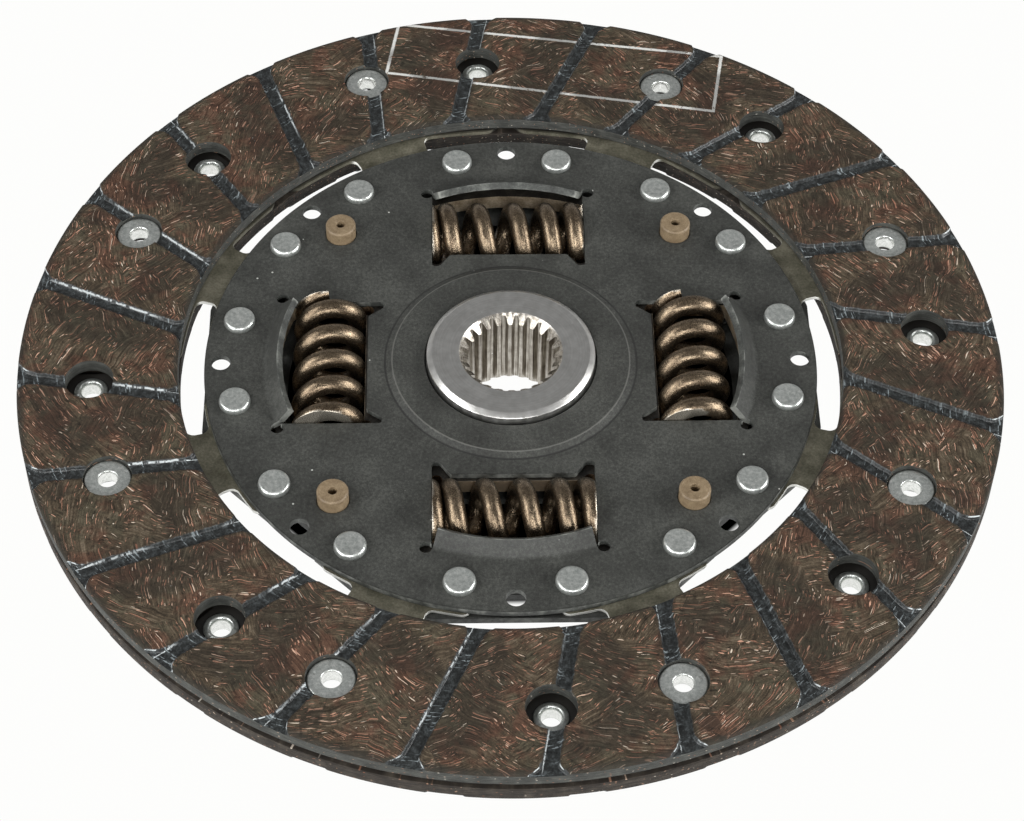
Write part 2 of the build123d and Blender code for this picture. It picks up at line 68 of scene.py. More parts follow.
# ============================================================ shader helpers
class G:
    """A small node-graph writer. Values are sockets or numbers."""

    def __init__(self, name):
        self.mat = bpy.data.materials.new(name)
        self.mat.use_nodes = True
        self.nt = self.mat.node_tree
        self.nt.nodes.clear()
        self.out = self.nt.nodes.new("ShaderNodeOutputMaterial")
        self.bsdf = self.nt.nodes.new("ShaderNodeBsdfPrincipled")
        self.nt.links.new(self.bsdf.outputs[0], self.out.inputs[0])
        tc = self.nt.nodes.new("ShaderNodeTexCoord")
        self.p = self.vm("MULTIPLY", tc.outputs["Object"], (1000.0, 1000.0, 1000.0))
        s = self.nt.nodes.new("ShaderNodeSeparateXYZ")
        self.nt.links.new(self.p, s.inputs[0])
        self.x, self.y, self.z = s.outputs
        self.obj_random = None

    def put(self, sock, v):
        if isinstance(v, bpy.types.NodeSocket):
            self.nt.links.new(v, sock)
        elif isinstance(v, (tuple, list)):
            d = sock.default_value
            sock.default_value = tuple(v) + ((1.0,) if len(d) == 4 and len(v) == 3 else ())
        else:
            try:
                sock.default_value = v
            except TypeError:
                sock.default_value = (v, v, v)

    def m(self, op, a, b=0.0, c=0.0, clamp=False):
        n = self.nt.nodes.new("ShaderNodeMath")
        n.operation = op
        n.use_clamp = clamp
        for i, v in enumerate((a, b, c)):
            self.put(n.inputs[i], v)
        return n.outputs[0]

    def add(self, a, b): return self.m("ADD", a, b)
    def sub(self, a, b): return self.m("SUBTRACT", a, b)
    def mul(self, a, b): return self.m("MULTIPLY", a, b)
    def ab(self, a): return self.m("ABSOLUTE", a)

    def vm(self, op, a, b=(0, 0, 0)):
        n = self.nt.nodes.new("ShaderNodeVectorMath")
        n.operation = op
        self.put(n.inputs[0], a)
        self.put(n.inputs[1], b)
        return n.outputs[1] if op in ("LENGTH", "DOT_PRODUCT", "DISTANCE") else n.outputs[0]

    def xyz(self, x, y, z):
        n = self.nt.nodes.new("ShaderNodeCombineXYZ")
        for i, v in enumerate((x, y, z)):
            self.put(n.inputs[i], v)
        return n.outputs[0]

    def noise(self, vec, scale, detail=2.0, rough=0.5, dist=0.0, dim="3D"):
        n = self.nt.nodes.new("ShaderNodeTexNoise")
        n.noise_dimensions = dim
        self.put(n.inputs["Vector"], vec)
        n.inputs["Scale"].default_value = scale
        n.inputs["Detail"].default_value = detail
        n.inputs["Roughness"].default_value = rough
        n.inputs["Distortion"].default_value = dist
        return n.outputs[0]

    def voro(self, vec, scale=1.0, feature="F1", dim="3D", rand=1.0):
        n = self.nt.nodes.new("ShaderNodeTexVoronoi")
        n.voronoi_dimensions = dim
        n.feature = feature
        self.put(n.inputs["Vector"], vec)
        n.inputs["Scale"].default_value = scale
        n.inputs["Randomness"].default_value = rand
        return n.outputs

    def step(self, v, lo, hi):
        """0 below lo, 1 above hi, smooth between; lo may be larger than hi."""
        n = self.nt.nodes.new("ShaderNodeMapRange")
        n.interpolation_type = "SMOOTHSTEP"
        self.put(n.inputs["Value"], v)
        if lo < hi:
            a, b, c, d = lo, hi, 0.0, 1.0
        else:
            a, b, c, d = hi, lo, 1.0, 0.0
        for i, q in zip((1, 2, 3, 4), (a, b, c, d)):
            n.inputs[i].default_value = q
        return n.outputs[0]

    def ramp(self, v, stops):
        n = self.nt.nodes.new("ShaderNodeValToRGB")
        self.put(n.inputs[0], v)
        e = n.color_ramp.elements
        while len(e) < len(stops):
            e.new(0.5)
        for q, (pos, col) in zip(e, stops):
            q.position = pos
            q.color = (*col, 1.0)
        return n.outputs[0]

    def mix(self, f, a, b, mode="MIX"):
        n = self.nt.nodes.new("ShaderNodeMix")
        n.data_type = "RGBA"
        n.blend_type = mode
        n.clamp_factor = True
        self.put(n.inputs[0], f)
        self.put(n.inputs[6], a)
        self.put(n.inputs[7], b)
        return n.outputs[2]

    def fmix(self, f, a, b):
        n = self.nt.nodes.new("ShaderNodeMix")
        n.data_type = "FLOAT"
        self.put(n.inputs[0], f)
        self.put(n.inputs[2], a)
        self.put(n.inputs[3], b)
        return n.outputs[0]

    def attr(self, name):
        n = self.nt.nodes.new("ShaderNodeAttribute")
        n.attribute_name = name
        return n.outputs["Fac"]

    def bump(self, h, dist, strength=1.0, normal=None):
        """h in 0..1 times dist millimetres."""
        n = self.nt.nodes.new("ShaderNodeBump")
        n.inputs["Strength"].default_value = strength
        n.inputs["Distance"].default_value = dist * MM
        self.put(n.inputs["Height"], h)
        if normal is not None:
            self.nt.links.new(normal, n.inputs["Normal"])
        return n.outputs[0]

    def set(self, **kw):
        names = {"color": "Base Color", "metal": "Metallic", "rough": "Roughness", "normal": "Normal",
                 "spec": "Specular IOR Level", "coat": "Coat Weight", "coat_rough": "Coat Roughness",
                 "aniso": "Anisotropic", "tangent": "Tangent", "sheen": "Sheen Weight", "ior": "IOR"}
        for k, v in kw.items():
            self.put(self.bsdf.inputs[names[k]], v)
        return self.mat


def lin(*rgb):
    """sRGB 0..255 to linear."""
    out = []
    for v in rgb:
        v /= 255.0
        out.append(v / 12.92 if v <= 0.04045 else ((v + 0.055) / 1.055) ** 2.4)
    return tuple(out)


# ================================================================ materials
def facing_material(name, printed, seed):
    """Wound yarn in dark resin: two crossing families of curled bundles, with copper-coloured fibres, and darker glossy
    resin in the grooves."""
    g = G(name)
    r = g.vm("LENGTH", g.xyz(g.x, g.y, 0.0))
    th = g.m("ARCTAN2", g.y, g.x)
    big = g.noise(g.vm("ADD", g.p, (seed, 0, 0)), 0.075, 2.0, 0.5)
    curl = g.noise(g.vm("ADD", g.p, (0, seed, 7)), 0.19, 1.0, 0.5)
    jit = g.noise(g.vm("ADD", g.p, (seed, 3, 1)), 0.62, 2.0, 0.6)
    w = g.m("DIVIDE", g.sub(r, 84.0), 18.0)
    w = g.m("MAXIMUM", g.m("MINIMUM", w, 0.94), -0.94)
    a = g.m("DIVIDE", g.m("ARCSINE", w), 3.5)
    kink = g.add(g.mul(g.sub(big, 0.5), 0.13), g.add(g.mul(g.sub(curl, 0.5), 0.034), g.mul(g.sub(jit, 0.5), 0.005)))
    fam = []
    for s in (1.0, -1.0):
        t0 = g.add(g.add(th, g.mul(a, -s)), g.mul(kink, s))
        cx, cy = g.mul(g.m("COSINE", t0), 84.0), g.mul(g.m("SINE", t0), 84.0)
        fam.append(g.xyz(cx, cy, g.add(g.mul(g.add(r, g.mul(curl, 4.0)), 0.25), 50.0 * s)))
    patch = g.add(g.mul(g.noise(g.vm("ADD", g.p, (3, seed, 1)), 0.11, 2.0, 0.55), 0.86), g.mul(jit, 0.14))
    pick = g.m("GREATER_THAN", patch, 0.5)
    n = g.nt.nodes.new("ShaderNodeMix")
    n.data_type = "VECTOR"
    g.put(n.inputs[0], pick)
    g.put(n.inputs[4], fam[0])
    g.put(n.inputs[5], fam[1])
    vec = n.outputs[1]
    streak = g.noise(vec, 1.35, 3.0, 0.62)
    fine = g.noise(vec, 4.2, 3.0, 0.65)
    grain = g.noise(g.p, 3.1, 3.0, 0.7)
    blot = g.noise(g.vm("ADD", g.p, (4, 4, seed)), 0.55, 3.0, 0.6)
    # bundles: dark resin, brown and olive streaks
    tone = g.add(g.add(g.mul(streak, 0.38), g.mul(fine, 0.22)), g.add(g.mul(grain, 0.22), g.mul(blot, 0.18)))
    col = g.ramp(tone, [(0.37, lin(32, 27, 20)), (0.455, lin(55, 47, 37)), (0.53, lin(76, 66, 53)), (0.64, lin(118, 106, 90))])
    red = g.noise(g.vm("ADD", g.p, (seed, 5, 0)), 0.12, 3.0, 0.65)
    col = g.mix(g.mul(g.step(red, 0.47, 0.62), 0.6), col, g.ramp(tone, [(0.38, lin(36, 24, 19)), (0.62, lin(104, 70, 56))]))
    olive = g.noise(g.vm("ADD", g.p, (9, 2, seed)), 0.17, 2.0, 0.6)
    col = g.mix(g.mul(g.step(olive, 0.52, 0.64), 0.45), col, g.ramp(tone, [(0.38, lin(32, 32, 25)), (0.62, lin(88, 86, 70))]))
    # copper fibres: two sizes of short dashes that lie along the yarn; the palest of their tones are painted glints of
    # the metal
    hit, fibre_tone_and_glint = None, None
    for sc, lo, width in (((1.5, 1.5, 2.6), 0.71, 0.25), ((2.3, 2.3, 3.6), 0.80, 0.26)):
        v1 = g.voro(g.vm("MULTIPLY", vec, sc))
        rnd = g.nt.nodes.new("ShaderNodeSeparateColor")
        g.nt.links.new(v1[1], rnd.inputs[0])
        dens = g.mul(g.step(g.noise(g.vm("ADD", g.p, (1, 1, seed + lo)), 0.24, 2.0, 0.6), 0.36, 0.62), 0.30)
        on = g.step(g.add(rnd.outputs[0], dens), lo + 0.10, lo + 0.14)
        h1 = g.mul(g.step(g.sub(v1[0], g.mul(rnd.outputs[2], 0.10)), width + 0.03, width - 0.05), on)
        f1 = g.ramp(rnd.outputs[1], [(0.0, lin(110, 74, 60)), (0.45, lin(156, 112, 92)), (0.8, lin(200, 156, 132)), (1.0, lin(216, 204, 186))])
        fibre_tone_and_glint = f1 if fibre_tone_and_glint is None else g.mix(h1, fibre_tone_and_glint, f1)
        hit = h1 if hit is None else g.m("MAXIMUM", hit, h1)
    col = g.mix(g.mul(hit, 0.9), col, fibre_tone_and_glint)
    # painted shade: dark spots standing for the shade in pits between the yarns
    pit_shade_noise = g.noise(g.vm("ADD", g.p, (seed, 8, 8)), 0.95, 3.0, 0.6)
    dark = g.mul(g.step(pit_shade_noise, 0.585, 0.66), g.step(fine, 0.62, 0.45))
    col = g.mix(g.mul(dark, 0.75), col, lin(26, 22, 18))
    # darker, resin-rich margin along the two rims; the grooves get theirs further down
    gd = g.attr("gz")
    ga, gw = g.attr("ga"), g.attr("gw")
    rim = g.m("MAXIMUM", g.step(g.add(r, g.mul(g.sub(curl, 0.5), 1.6)), 98.1, 99.7), g.step(g.add(r, g.mul(g.sub(curl, 0.5), 1.2)), 69.2, 67.9))
    col = g.mix(g.mul(rim, 0.75), col, lin(42, 41, 37))
    if printed:
        # a plain white outline, printed
        pts = [(-23.7, 97.5), (48.6, 86.5), (45.7, 69.2), (-26.3, 81.9)]
        ink = None
        for i in range(4):
            (x0, y0), (x1, y1) = pts[i], pts[(i + 1) % 4]
            L = math.hypot(x1 - x0, y1 - y0)
            ux, uy = (x1 - x0) / L, (y1 - y0) / L
            s = g.add(g.mul(g.sub(g.x, x0), ux), g.mul(g.sub(g.y, y0), uy))
            t = g.add(g.mul(g.sub(g.x, x0), -uy), g.mul(g.sub(g.y, y0), ux))
            ds = g.m("MAXIMUM", g.mul(s, -1.0), g.sub(s, L))
            d = g.m("MAXIMUM", g.ab(t), ds)
            ink = d if ink is None else g.m("MINIMUM", ink, d)
        wear = g.noise(vec, 2.6, 2.0, 0.7)
        line = g.step(g.add(ink, g.mul(g.sub(wear, 0.5), 0.34)), 0.42, 0.26)
        line = g.mul(line, g.step(g.noise(g.p, 1.1, 2.0, 0.6), 0.28, 0.40))
        col = g.mix(g.mul(line, 0.93), col, lin(208, 208, 204))
    # groove resin: dark grey, glossy, with groups of pale marks across it, and a painted highlight: a bright glint line
    # near one edge of the groove floor and on the groove walls near the outer rim
    gc = g.xyz(ga, gw, 0.0)
    body = g.ramp(g.add(g.mul(g.noise(gc, 0.8, 3.0, 0.6), 0.6), g.mul(g.noise(gc, 2.6, 2.0, 0.6), 0.4)),
                  [(0.36, lin(22, 23, 23)), (0.50, lin(40, 42, 42)), (0.62, lin(66, 70, 71))])
    across = g.add(ga, g.mul(gw, 0.38))
    lines = g.step(g.noise(g.xyz(g.mul(across, 2.3), g.mul(gw, 0.35), 1.0), 1.0, 1.0, 0.5), 0.575, 0.645)
    group = g.step(g.noise(g.xyz(ga, 0.0, 5.0), 0.20, 2.0, 0.6), 0.47, 0.55)
    marks = g.mul(g.mul(lines, group), g.step(g.noise(gc, 1.3, 2.0), 0.36, 0.50))
    # painted highlight: a thin glint line along one side of the groove floor, broken up by noise
    glint_line_place = g.add(1.06, g.mul(g.noise(g.xyz(ga, 0.0, 0.0), 0.9, 3.0, 0.65), 0.45))
    side = g.step(g.noise(g.xyz(g.mul(ga, 0.045), 3.0, 0.0), 1.0, 1.0), 0.45, 0.53)
    glint_line = g.mul(g.mul(g.step(g.ab(g.sub(gw, glint_line_place)), 0.13, 0.05), side), g.step(g.noise(g.xyz(ga, 3.0, 0.0), 0.9, 3.0, 0.7), 0.40, 0.50))
    # painted highlight on the groove walls close to the outer rim
    wall_glint = g.mul(g.mul(g.step(g.ab(g.sub(gd, 0.32)), 0.20, 0.08), g.step(r, 97.4, 98.4)), g.step(g.noise(g.p, 0.7, 2.0), 0.44, 0.52))
    resin = g.mix(g.mul(marks, 0.8), body, lin(138, 147, 150))
    resin = g.mix(g.mul(g.m("MAXIMUM", glint_line, wall_glint), 0.9), resin, lin(196, 202, 203))
    jag = g.mul(g.sub(g.noise(g.p, 1.5, 3.0, 0.65), 0.5), 0.5)
    inside = g.step(g.add(gd, jag), 0.06, 0.24)
    near = g.step(g.add(g.ab(gw), g.mul(jag, 1.5)), 2.6, 1.5)
    col = g.mix(g.mul(near, 0.5), col, lin(34, 31, 27))
    col = g.mix(inside, col, resin)
    rough = g.fmix(inside, g.fmix(hit, 0.80, 0.55), 0.34)
    h = g.add(g.add(g.mul(streak, 0.4), g.mul(fine, 0.35)), g.mul(hit, 0.4))
    nb = g.bump(g.fmix(inside, h, g.add(g.mul(g.noise(gc, 1.6, 2.0), 0.8), g.mul(marks, 0.4))), 0.16, 0.8)
    return g.set(color=col, rough=rough, normal=nb, spec=g.fmix(inside, 0.16, 0.34))


def side_material(name, seed, warm):
    """Machined rims and walls of the friction rings: smeared resin with fine lines running round."""
    g = G(name)
    r = g.vm("LENGTH", g.xyz(g.x, g.y, 0.0))
    th = g.m("ARCTAN2", g.y, g.x)
    around = g.xyz(g.mul(g.m("COSINE", th), 30.0), g.mul(g.m("SINE", th), 30.0), g.mul(g.z, 4.0))
    n1 = g.noise(g.vm("ADD", around, (seed, 0, 0)), 0.9, 4.0, 0.65)
    n2 = g.noise(g.vm("ADD", g.p, (0, seed, 0)), 0.35, 3.0, 0.6)
    dark, mid, light = ((26, 23, 21), (46, 41, 36), (84, 77, 68)) if warm else ((36, 37, 35), (60, 61, 58), (92, 93, 88))
    col = g.ramp(g.add(g.mul(n1, 0.6), g.mul(n2, 0.4)), [(0.32, lin(*dark)), (0.5, lin(*mid)), (0.72, lin(*light))])
    # copper fibre ends on the cut walls; the palest of their tones are painted glints of the metal
    fib = g.voro(g.vm("MULTIPLY", around, (3.2, 3.2, 0.55)))
    rn = g.nt.nodes.new("ShaderNodeSeparateColor")
    g.nt.links.new(fib[1], rn.inputs[0])
    hit = g.mul(g.step(fib[0], 0.26, 0.14), g.step(rn.outputs[0], 0.55, 0.6))
    col = g.mix(g.mul(hit, 0.8), col, g.ramp(rn.outputs[1], [(0.0, lin(120, 78, 60)), (0.7, lin(170, 140, 118)), (1.0, lin(205, 200, 188))]))
    nb = g.bump(g.add(n1, g.mul(n2, 0.5)), 0.25, 0.8)
    return g.set(color=col, rough=0.66, normal=nb, spec=0.25)


def plate_material(name, tone=1.0):
    """Phosphated, oiled steel sheet: almost black, matt, with faint handling marks."""
    g = G(name)
    r = g.vm("LENGTH", g.xyz(g.x, g.y, 0.0))
    n1 = g.noise(g.p, 0.09, 4.0, 0.65)
    n2 = g.noise(g.p, 1.5, 4.0, 0.7)
    n3 = g.noise(g.p, 5.5, 2.0, 0.6)
    v = g.add(g.add(g.mul(n1, 0.35), g.mul(n2, 0.40)), g.mul(n3, 0.25))
    c = lambda q: tuple(min(1.0, tone * k) for k in lin(*q))
    col = g.ramp(v, [(0.38, c((38, 38, 36))), (0.5, c((56, 57, 54))), (0.62, c((77, 78, 74)))])
    # painted shade in the crease at the foot of the raised centre's bend, and a painted highlight along its crest
    painted_crease_shade = g.mul(g.step(g.ab(g.sub(r, g.add(25.72, g.mul(g.sub(n2, 0.5), 0.25)))), 0.30, 0.10), 0.75)
    painted_crest_highlight = g.mul(g.step(g.ab(g.sub(r, g.add(24.28, g.mul(g.sub(n2, 0.5), 0.2)))), 0.22, 0.06), 0.42)
    col = g.mix(painted_crease_shade, col, c((34, 34, 33)))
    col = g.mix(painted_crest_highlight, col, c((116, 116, 111)))
    # pinpoint nicks to bare steel
    nk = g.voro(g.p, 0.21)
    rk = g.nt.nodes.new("ShaderNodeSeparateColor")
    g.nt.links.new(nk[1], rk.inputs[0])
    nick = g.mul(g.step(nk[0], 0.055, 0.03), g.step(rk.outputs[0], 0.45, 0.5))
    col = g.mix(g.mul(nick, 0.9), col, lin(186, 188, 182))
    nb = g.bump(g.add(g.mul(n2, 0.6), g.mul(n3, 0.4)), 0.07, 0.7)
    return g.set(color=col, rough=g.add(0.46, g.mul(n2, 0.18)), normal=nb, spec=0.36)


def cut_material(name, k=1.0):
    """Sheared and bent edges of the plates: the dark skin is rubbed thin and lines run across the cut."""
    g = G(name)
    n1 = g.noise(g.p, 0.35, 3.0, 0.6)
    n2 = g.noise(g.p, 2.4, 3.0, 0.65)
    col = g.ramp(g.add(g.mul(n1, 0.55), g.mul(n2, 0.45)), [(0.36, lin(44 * k, 45 * k, 43 * k)), (0.5, lin(64 * k, 66 * k, 63 * k)), (0.64, lin(90 * k, 92 * k, 88 * k))])
    geo = g.nt.nodes.new("ShaderNodeNewGeometry")
    worn = g.mul(g.step(g.add(geo.outputs["Pointiness"], g.mul(g.sub(n1, 0.5), 0.12)), 0.53, 0.59), 0.75)
    col = g.mix(worn, col, lin(154 * k, 156 * k, 150 * k))
    nb = g.bump(n2, 0.06, 0.6)
    return g.set(color=col, rough=g.add(0.42, g.mul(n2, 0.2)), metal=g.mul(worn, 0.4), normal=nb, spec=0.38)


def segment_material(name):
    """Cushion segments: oily olive-grey skin; the sheared walls at the feet are painted near-white as a painted
    highlight, and the part between the friction rings is darkened as painted shade.
    """
    g = G(name)
    r = g.vm("LENGTH", g.xyz(g.x, g.y, 0.0))
    n1 = g.noise(g.p, 0.2, 3.0, 0.6)
    n2 = g.noise(g.p, 2.0, 3.0, 0.65)
    col = g.ramp(g.add(g.mul(n1, 0.6), g.mul(n2, 0.4)), [(0.36, lin(86, 84, 70)), (0.5, lin(112, 109, 94)), (0.64, lin(140, 136, 119))])
    geo = g.nt.nodes.new("ShaderNodeNewGeometry")
    sp = g.nt.nodes.new("ShaderNodeSeparateXYZ")
    g.nt.links.new(geo.outputs["True Normal"], sp.inputs[0])
    # painted highlight: the sheared walls are near-white and not metallic
    wall = g.mul(g.step(g.ab(sp.outputs[2]), 0.8, 0.5), g.step(r, 67.6, 66.8))
    # painted shade: the part held between the friction rings is dark
    inner_shaded = g.step(r, 67.3, 68.6)
    col = g.mix(wall, col, lin(232, 232, 226))
    col = g.mix(inner_shaded, col, lin(30, 28, 25))
    nb = g.bump(n2, 0.05, 0.5)
    return g.set(color=col, metal=g.mul(g.sub(1.0, g.m("MAXIMUM", inner_shaded, wall)), 0.6), rough=g.add(0.40, g.mul(n1, 0.2)), normal=nb)


def sheet_material(name, base, light, bright_edge=True, rough=0.42, metal=0.75):
    """Cold-rolled sheet with an oily olive-grey skin."""
    g = G(name)
    r = g.vm("LENGTH", g.xyz(g.x, g.y, 0.0))
    n1 = g.noise(g.p, 0.18, 3.0, 0.6)
    n2 = g.noise(g.xyz(g.mul(g.x, 2.2), g.mul(g.y, 0.5), g.mul(g.z, 1.0)), 1.2, 3.0, 0.6)
    col = g.ramp(g.add(g.mul(n1, 0.6), g.mul(n2, 0.4)), [(0.3, lin(*base)), (0.7, lin(*light))])
    if bright_edge:
        geo = g.nt.nodes.new("ShaderNodeNewGeometry")
        col = g.mix(g.mul(g.step(geo.outputs["Pointiness"], 0.53, 0.60), 0.65), col, lin(196, 192, 182))
    nb = g.bump(n2, 0.05, 0.5)
    return g.set(color=col, metal=metal, rough=g.add(rough - 0.08, g.mul(n1, 0.2)), normal=nb)


def flange_material(name):
    """Hub flange: dark oily faces; the sheared window walls carry painted light, bright bronze on the outer walls as a
    painted highlight and a darker copy on the inner walls as painted shade.
    """
    g = G(name)
    r = g.vm("LENGTH", g.xyz(g.x, g.y, 0.0))
    n1 = g.noise(g.p, 0.35, 3.0, 0.6)
    n2 = g.noise(g.p, 2.2, 3.0, 0.65)
    v = g.add(g.mul(n1, 0.5), g.mul(n2, 0.5))
    face = g.ramp(v, [(0.36, lin(30, 28, 25)), (0.5, lin(44, 41, 37)), (0.64, lin(66, 62, 55))])
    # painted highlight on the outer window walls, painted shade on the inner ones
    outer = g.ramp(v, [(0.36, lin(150, 132, 108)), (0.5, lin(184, 166, 140)), (0.64, lin(214, 198, 174))])
    inner_shaded = g.ramp(v, [(0.36, lin(70, 56, 42)), (0.5, lin(104, 84, 64)), (0.64, lin(150, 124, 96))])
    geo = g.nt.nodes.new("ShaderNodeNewGeometry")
    sp = g.nt.nodes.new("ShaderNodeSeparateXYZ")
    g.nt.links.new(geo.outputs["True Normal"], sp.inputs[0])
    wall = g.step(g.ab(sp.outputs[2]), 0.8, 0.5)
    col = g.mix(wall, face, g.mix(g.step(r, 41.0, 45.0), inner_shaded, outer))
    col = g.mix(g.mul(g.step(geo.outputs["Pointiness"], 0.54, 0.60), 0.5), col, lin(176, 160, 136))
    nb = g.bump(n2, 0.06, 0.5)
    return g.set(color=col, metal=g.fmix(wall, 0.3, 0.55), rough=g.add(0.34, g.mul(n1, 0.2)), normal=nb)


def zinc_material(name):
    """Satin zinc on the rivets: fine crystals and small dents."""
    g = G(name)
    n1 = g.noise(g.p, 1.3, 3.0, 0.6)
    n2 = g.noise(g.p, 5.0, 3.0, 0.65)
    col = g.ramp(g.add(g.mul(n1, 0.6), g.mul(n2, 0.4)), [(0.36, lin(172, 177, 173)), (0.5, lin(200, 204, 200)), (0.64, lin(226, 228, 224))])
    nb = g.bump(g.add(g.mul(n1, 0.5), g.mul(n2, 0.5)), 0.045, 0.6)
    return g.set(color=col, metal=0.88, rough=g.add(0.27, g.mul(n2, 0.18)), normal=nb)


def bore_material(name):
    """The drawn inside of the hollow rivets, smooth and bright."""
    g = G(name)
    n1 = g.noise(g.p, 1.6, 2.0, 0.6)
    col = g.ramp(n1, [(0.35, lin(222, 224, 220)), (0.65, lin(242, 243, 240))])
    return g.set(color=col, metal=0.85, rough=g.add(0.12, g.mul(n1, 0.08)))


def hub_material(name):
    """Turned steel: fine lathe lines round the axis on the face, drawn marks down the spline."""
    g = G(name)
    r = g.vm("LENGTH", g.xyz(g.x, g.y, 0.0))
    bore = g.step(r, 10.75, 10.4)
    lathe = g.noise(g.xyz(g.mul(r, 9.0), 0.0, g.mul(g.z, 6.0)), 1.0, 2.0, 0.7)
    draw = g.noise(g.xyz(g.mul(g.x, 5.0), g.mul(g.y, 5.0), g.mul(g.z, 0.12)), 1.0, 3.0, 0.7)
    n1 = g.noise(g.p, 0.5, 3.0, 0.6)
    col = g.ramp(g.add(g.mul(n1, 0.5), g.mul(g.fmix(bore, lathe, draw), 0.5)), [(0.32, lin(188, 187, 183)), (0.52, lin(206, 205, 202)), (0.72, lin(224, 223, 220))])
    warm = g.ramp(g.add(g.mul(n1, 0.3), g.mul(draw, 0.7)), [(0.36, lin(112, 104, 95)), (0.5, lin(172, 166, 156)), (0.66, lin(226, 222, 214))])
    col = g.mix(bore, col, warm)
    nick = g.voro(g.p, 0.55)
    rn = g.nt.nodes.new("ShaderNodeSeparateColor")
    g.nt.links.new(nick[1], rn.inputs[0])
    dot = g.mul(g.step(nick[0], 0.11, 0.05), g.step(rn.outputs[0], 0.75, 0.8))
    col = g.mix(dot, col, lin(225, 225, 222))
    nb = g.bump(g.fmix(bore, g.mul(lathe, 0.45), draw), 0.03, 0.7)
    return g.set(color=col, metal=1.0, rough=g.fmix(bore, g.add(0.27, g.mul(n1, 0.12)), 0.30), normal=nb)


def wire_material(name):
    """Oil-tempered spring wire: bronze-brown scale over steel, drawn along the wire and pitted."""
    g = G(name)
    al, ar = g.attr("along"), g.attr("around")
    c = g.xyz(g.mul(al, 0.25), g.mul(g.m("COSINE", ar), 2.0), g.mul(g.m("SINE", ar), 2.0))
    n1 = g.noise(c, 1.1, 3.0, 0.65)
    n2 = g.noise(g.p, 1.5, 3.0, 0.65)
    n3 = g.noise(g.p, 4.5, 2.0, 0.6)
    v = g.add(g.mul(n1, 0.4), g.add(g.mul(n2, 0.35), g.mul(n3, 0.25)))
    col = g.ramp(v, [(0.36, lin(76, 64, 52)), (0.5, lin(112, 98, 81)), (0.64, lin(152, 136, 114))])
    flat = g.attr("ground")
    col = g.mix(g.mul(flat, 0.8), col, lin(190, 184, 172))
    nb = g.bump(g.add(g.mul(n1, 0.4), g.mul(n3, 0.6)), 0.10, 0.9)
    return g.set(color=col, metal=0.95, rough=g.add(0.19, g.mul(n3, 0.18)), normal=nb)


def plastic_material(name, dark, mid, light, rough=0.5):
    g = G(name)
    n1 = g.noise(g.p, 0.7, 3.0, 0.6)
    n2 = g.noise(g.p, 5.0, 2.0, 0.6)
    col = g.ramp(g.add(g.mul(n1, 0.5), g.mul(n2, 0.5)), [(0.32, lin(*dark)), (0.52, lin(*mid)), (0.75, lin(*light))])
    nb = g.bump(n2, 0.05, 0.6)
    return g.set(color=col, rough=g.add(rough - 0.06, g.mul(n2, 0.14)), normal=nb, spec=0.45)


M = {
    "facing_front": facing_material("facing_front", True, 11.0),
    "facing_rear": facing_material("facing_rear", False, 47.0),
    "side_front": side_material("facing_side_front", 3.0, False),
    "side_rear": side_material("facing_side_rear", 8.0, True),
    "plate": plate_material("plate_steel"),
    # painted shade: the rear plate and its cut edges take the front plate's steels made darker
    "rear_plate": plate_material("rear_plate_steel_shaded", 0.92),
    "cut": cut_material("sheared_steel"),
    "cut_rear_shaded": cut_material("sheared_steel_rear_shaded", 0.85),
    "segment": segment_material("segment_steel"),
    "flange": flange_material("flange_steel"),
    "zinc": zinc_material("rivet_zinc"),
    "bore": bore_material("rivet_bore"),
    "hub": hub_material("hub_steel"),
    "wire": wire_material("spring_wire"),
    "tan": plastic_material("tan_plastic", (98, 82, 62), (124, 107, 83), (150, 133, 108)),
    "black": plastic_material("dark_plastic", (30, 30, 30), (46, 46, 45), (66, 66, 64), 0.42),
    "disc_spring": sheet_material("disc_spring_steel", (70, 66, 60), (110, 104, 94)),
}


# ============================================================= mesh helpers
def finish_object(name, bm, mats, body, replaces, angle=32.0, weighted=True):
    me = bpy.data.meshes.new(name)
    bm.to_mesh(me)
    bm.free()
    me.transform(Matrix.Scale(MM, 4))
    for q in mats:
        me.materials.append(q)
    me.shade_smooth()
    me.set_sharp_from_angle(angle=math.radians(angle))
    ob = bpy.data.objects.new(name, me)
    scene.collection.objects.link(ob)
    if weighted:
        wn = ob.modifiers.new("weighted", "WEIGHTED_NORMAL")
        wn.keep_sharp = True
        wn.weight = 60
    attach(ob, body)
    if replaces:
        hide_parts(*replaces)
    return ob


# --- friction ring ---------------------------------------------------------
G_P, G_Q = (101.5, 2.75), (65.5, 9.8)
OUT_R, OUT_Z = (99.3, 99.66, 99.88, 100.0), (0.0, -0.09, -0.28, -0.62)
INN_R, INN_Z = (67.7, 67.80, 68.02, 68.45), (-0.72, -0.34, -0.11, 0.0)
GR_O = (-0.28, -0.12, 0.02, 0.16, 0.34, 0.62)
GR_Z = (-0.90, -0.78, -0.46, -0.17, -0.05, 0.0)
HO_D, HO_Z = (4.9, 4.98, 5.16, 5.5), (-0.30, -0.12, -0.03, 0.0)


def flare(r):
    if r > 96.3:
        return 2.2 * min(1.0, (r - 96.3) / 3.7) ** 2.3
    if r < 70.4:
        return 1.4 * min(1.0, (70.4 - r) / 2.7) ** 2.2
    return 0.0


def groove_frame(k):
    p, q = pol(G_P[0], G_P[1] + 15 * k), pol(G_Q[0], G_Q[1] + 15 * k)
    dx, dy = q[0] - p[0], q[1] - p[1]
    L = math.hypot(dx, dy)
    return p, (dx / L, dy / L), L


FRAMES = [groove_frame(k) for k in range(24)]


def wob(k, s, side):
    return 0.05 * math.sin(1.7 * s + 2.1 * k + side) + 0.035 * math.sin(3.9 * s + 1.3 * k + 2.0 * side)


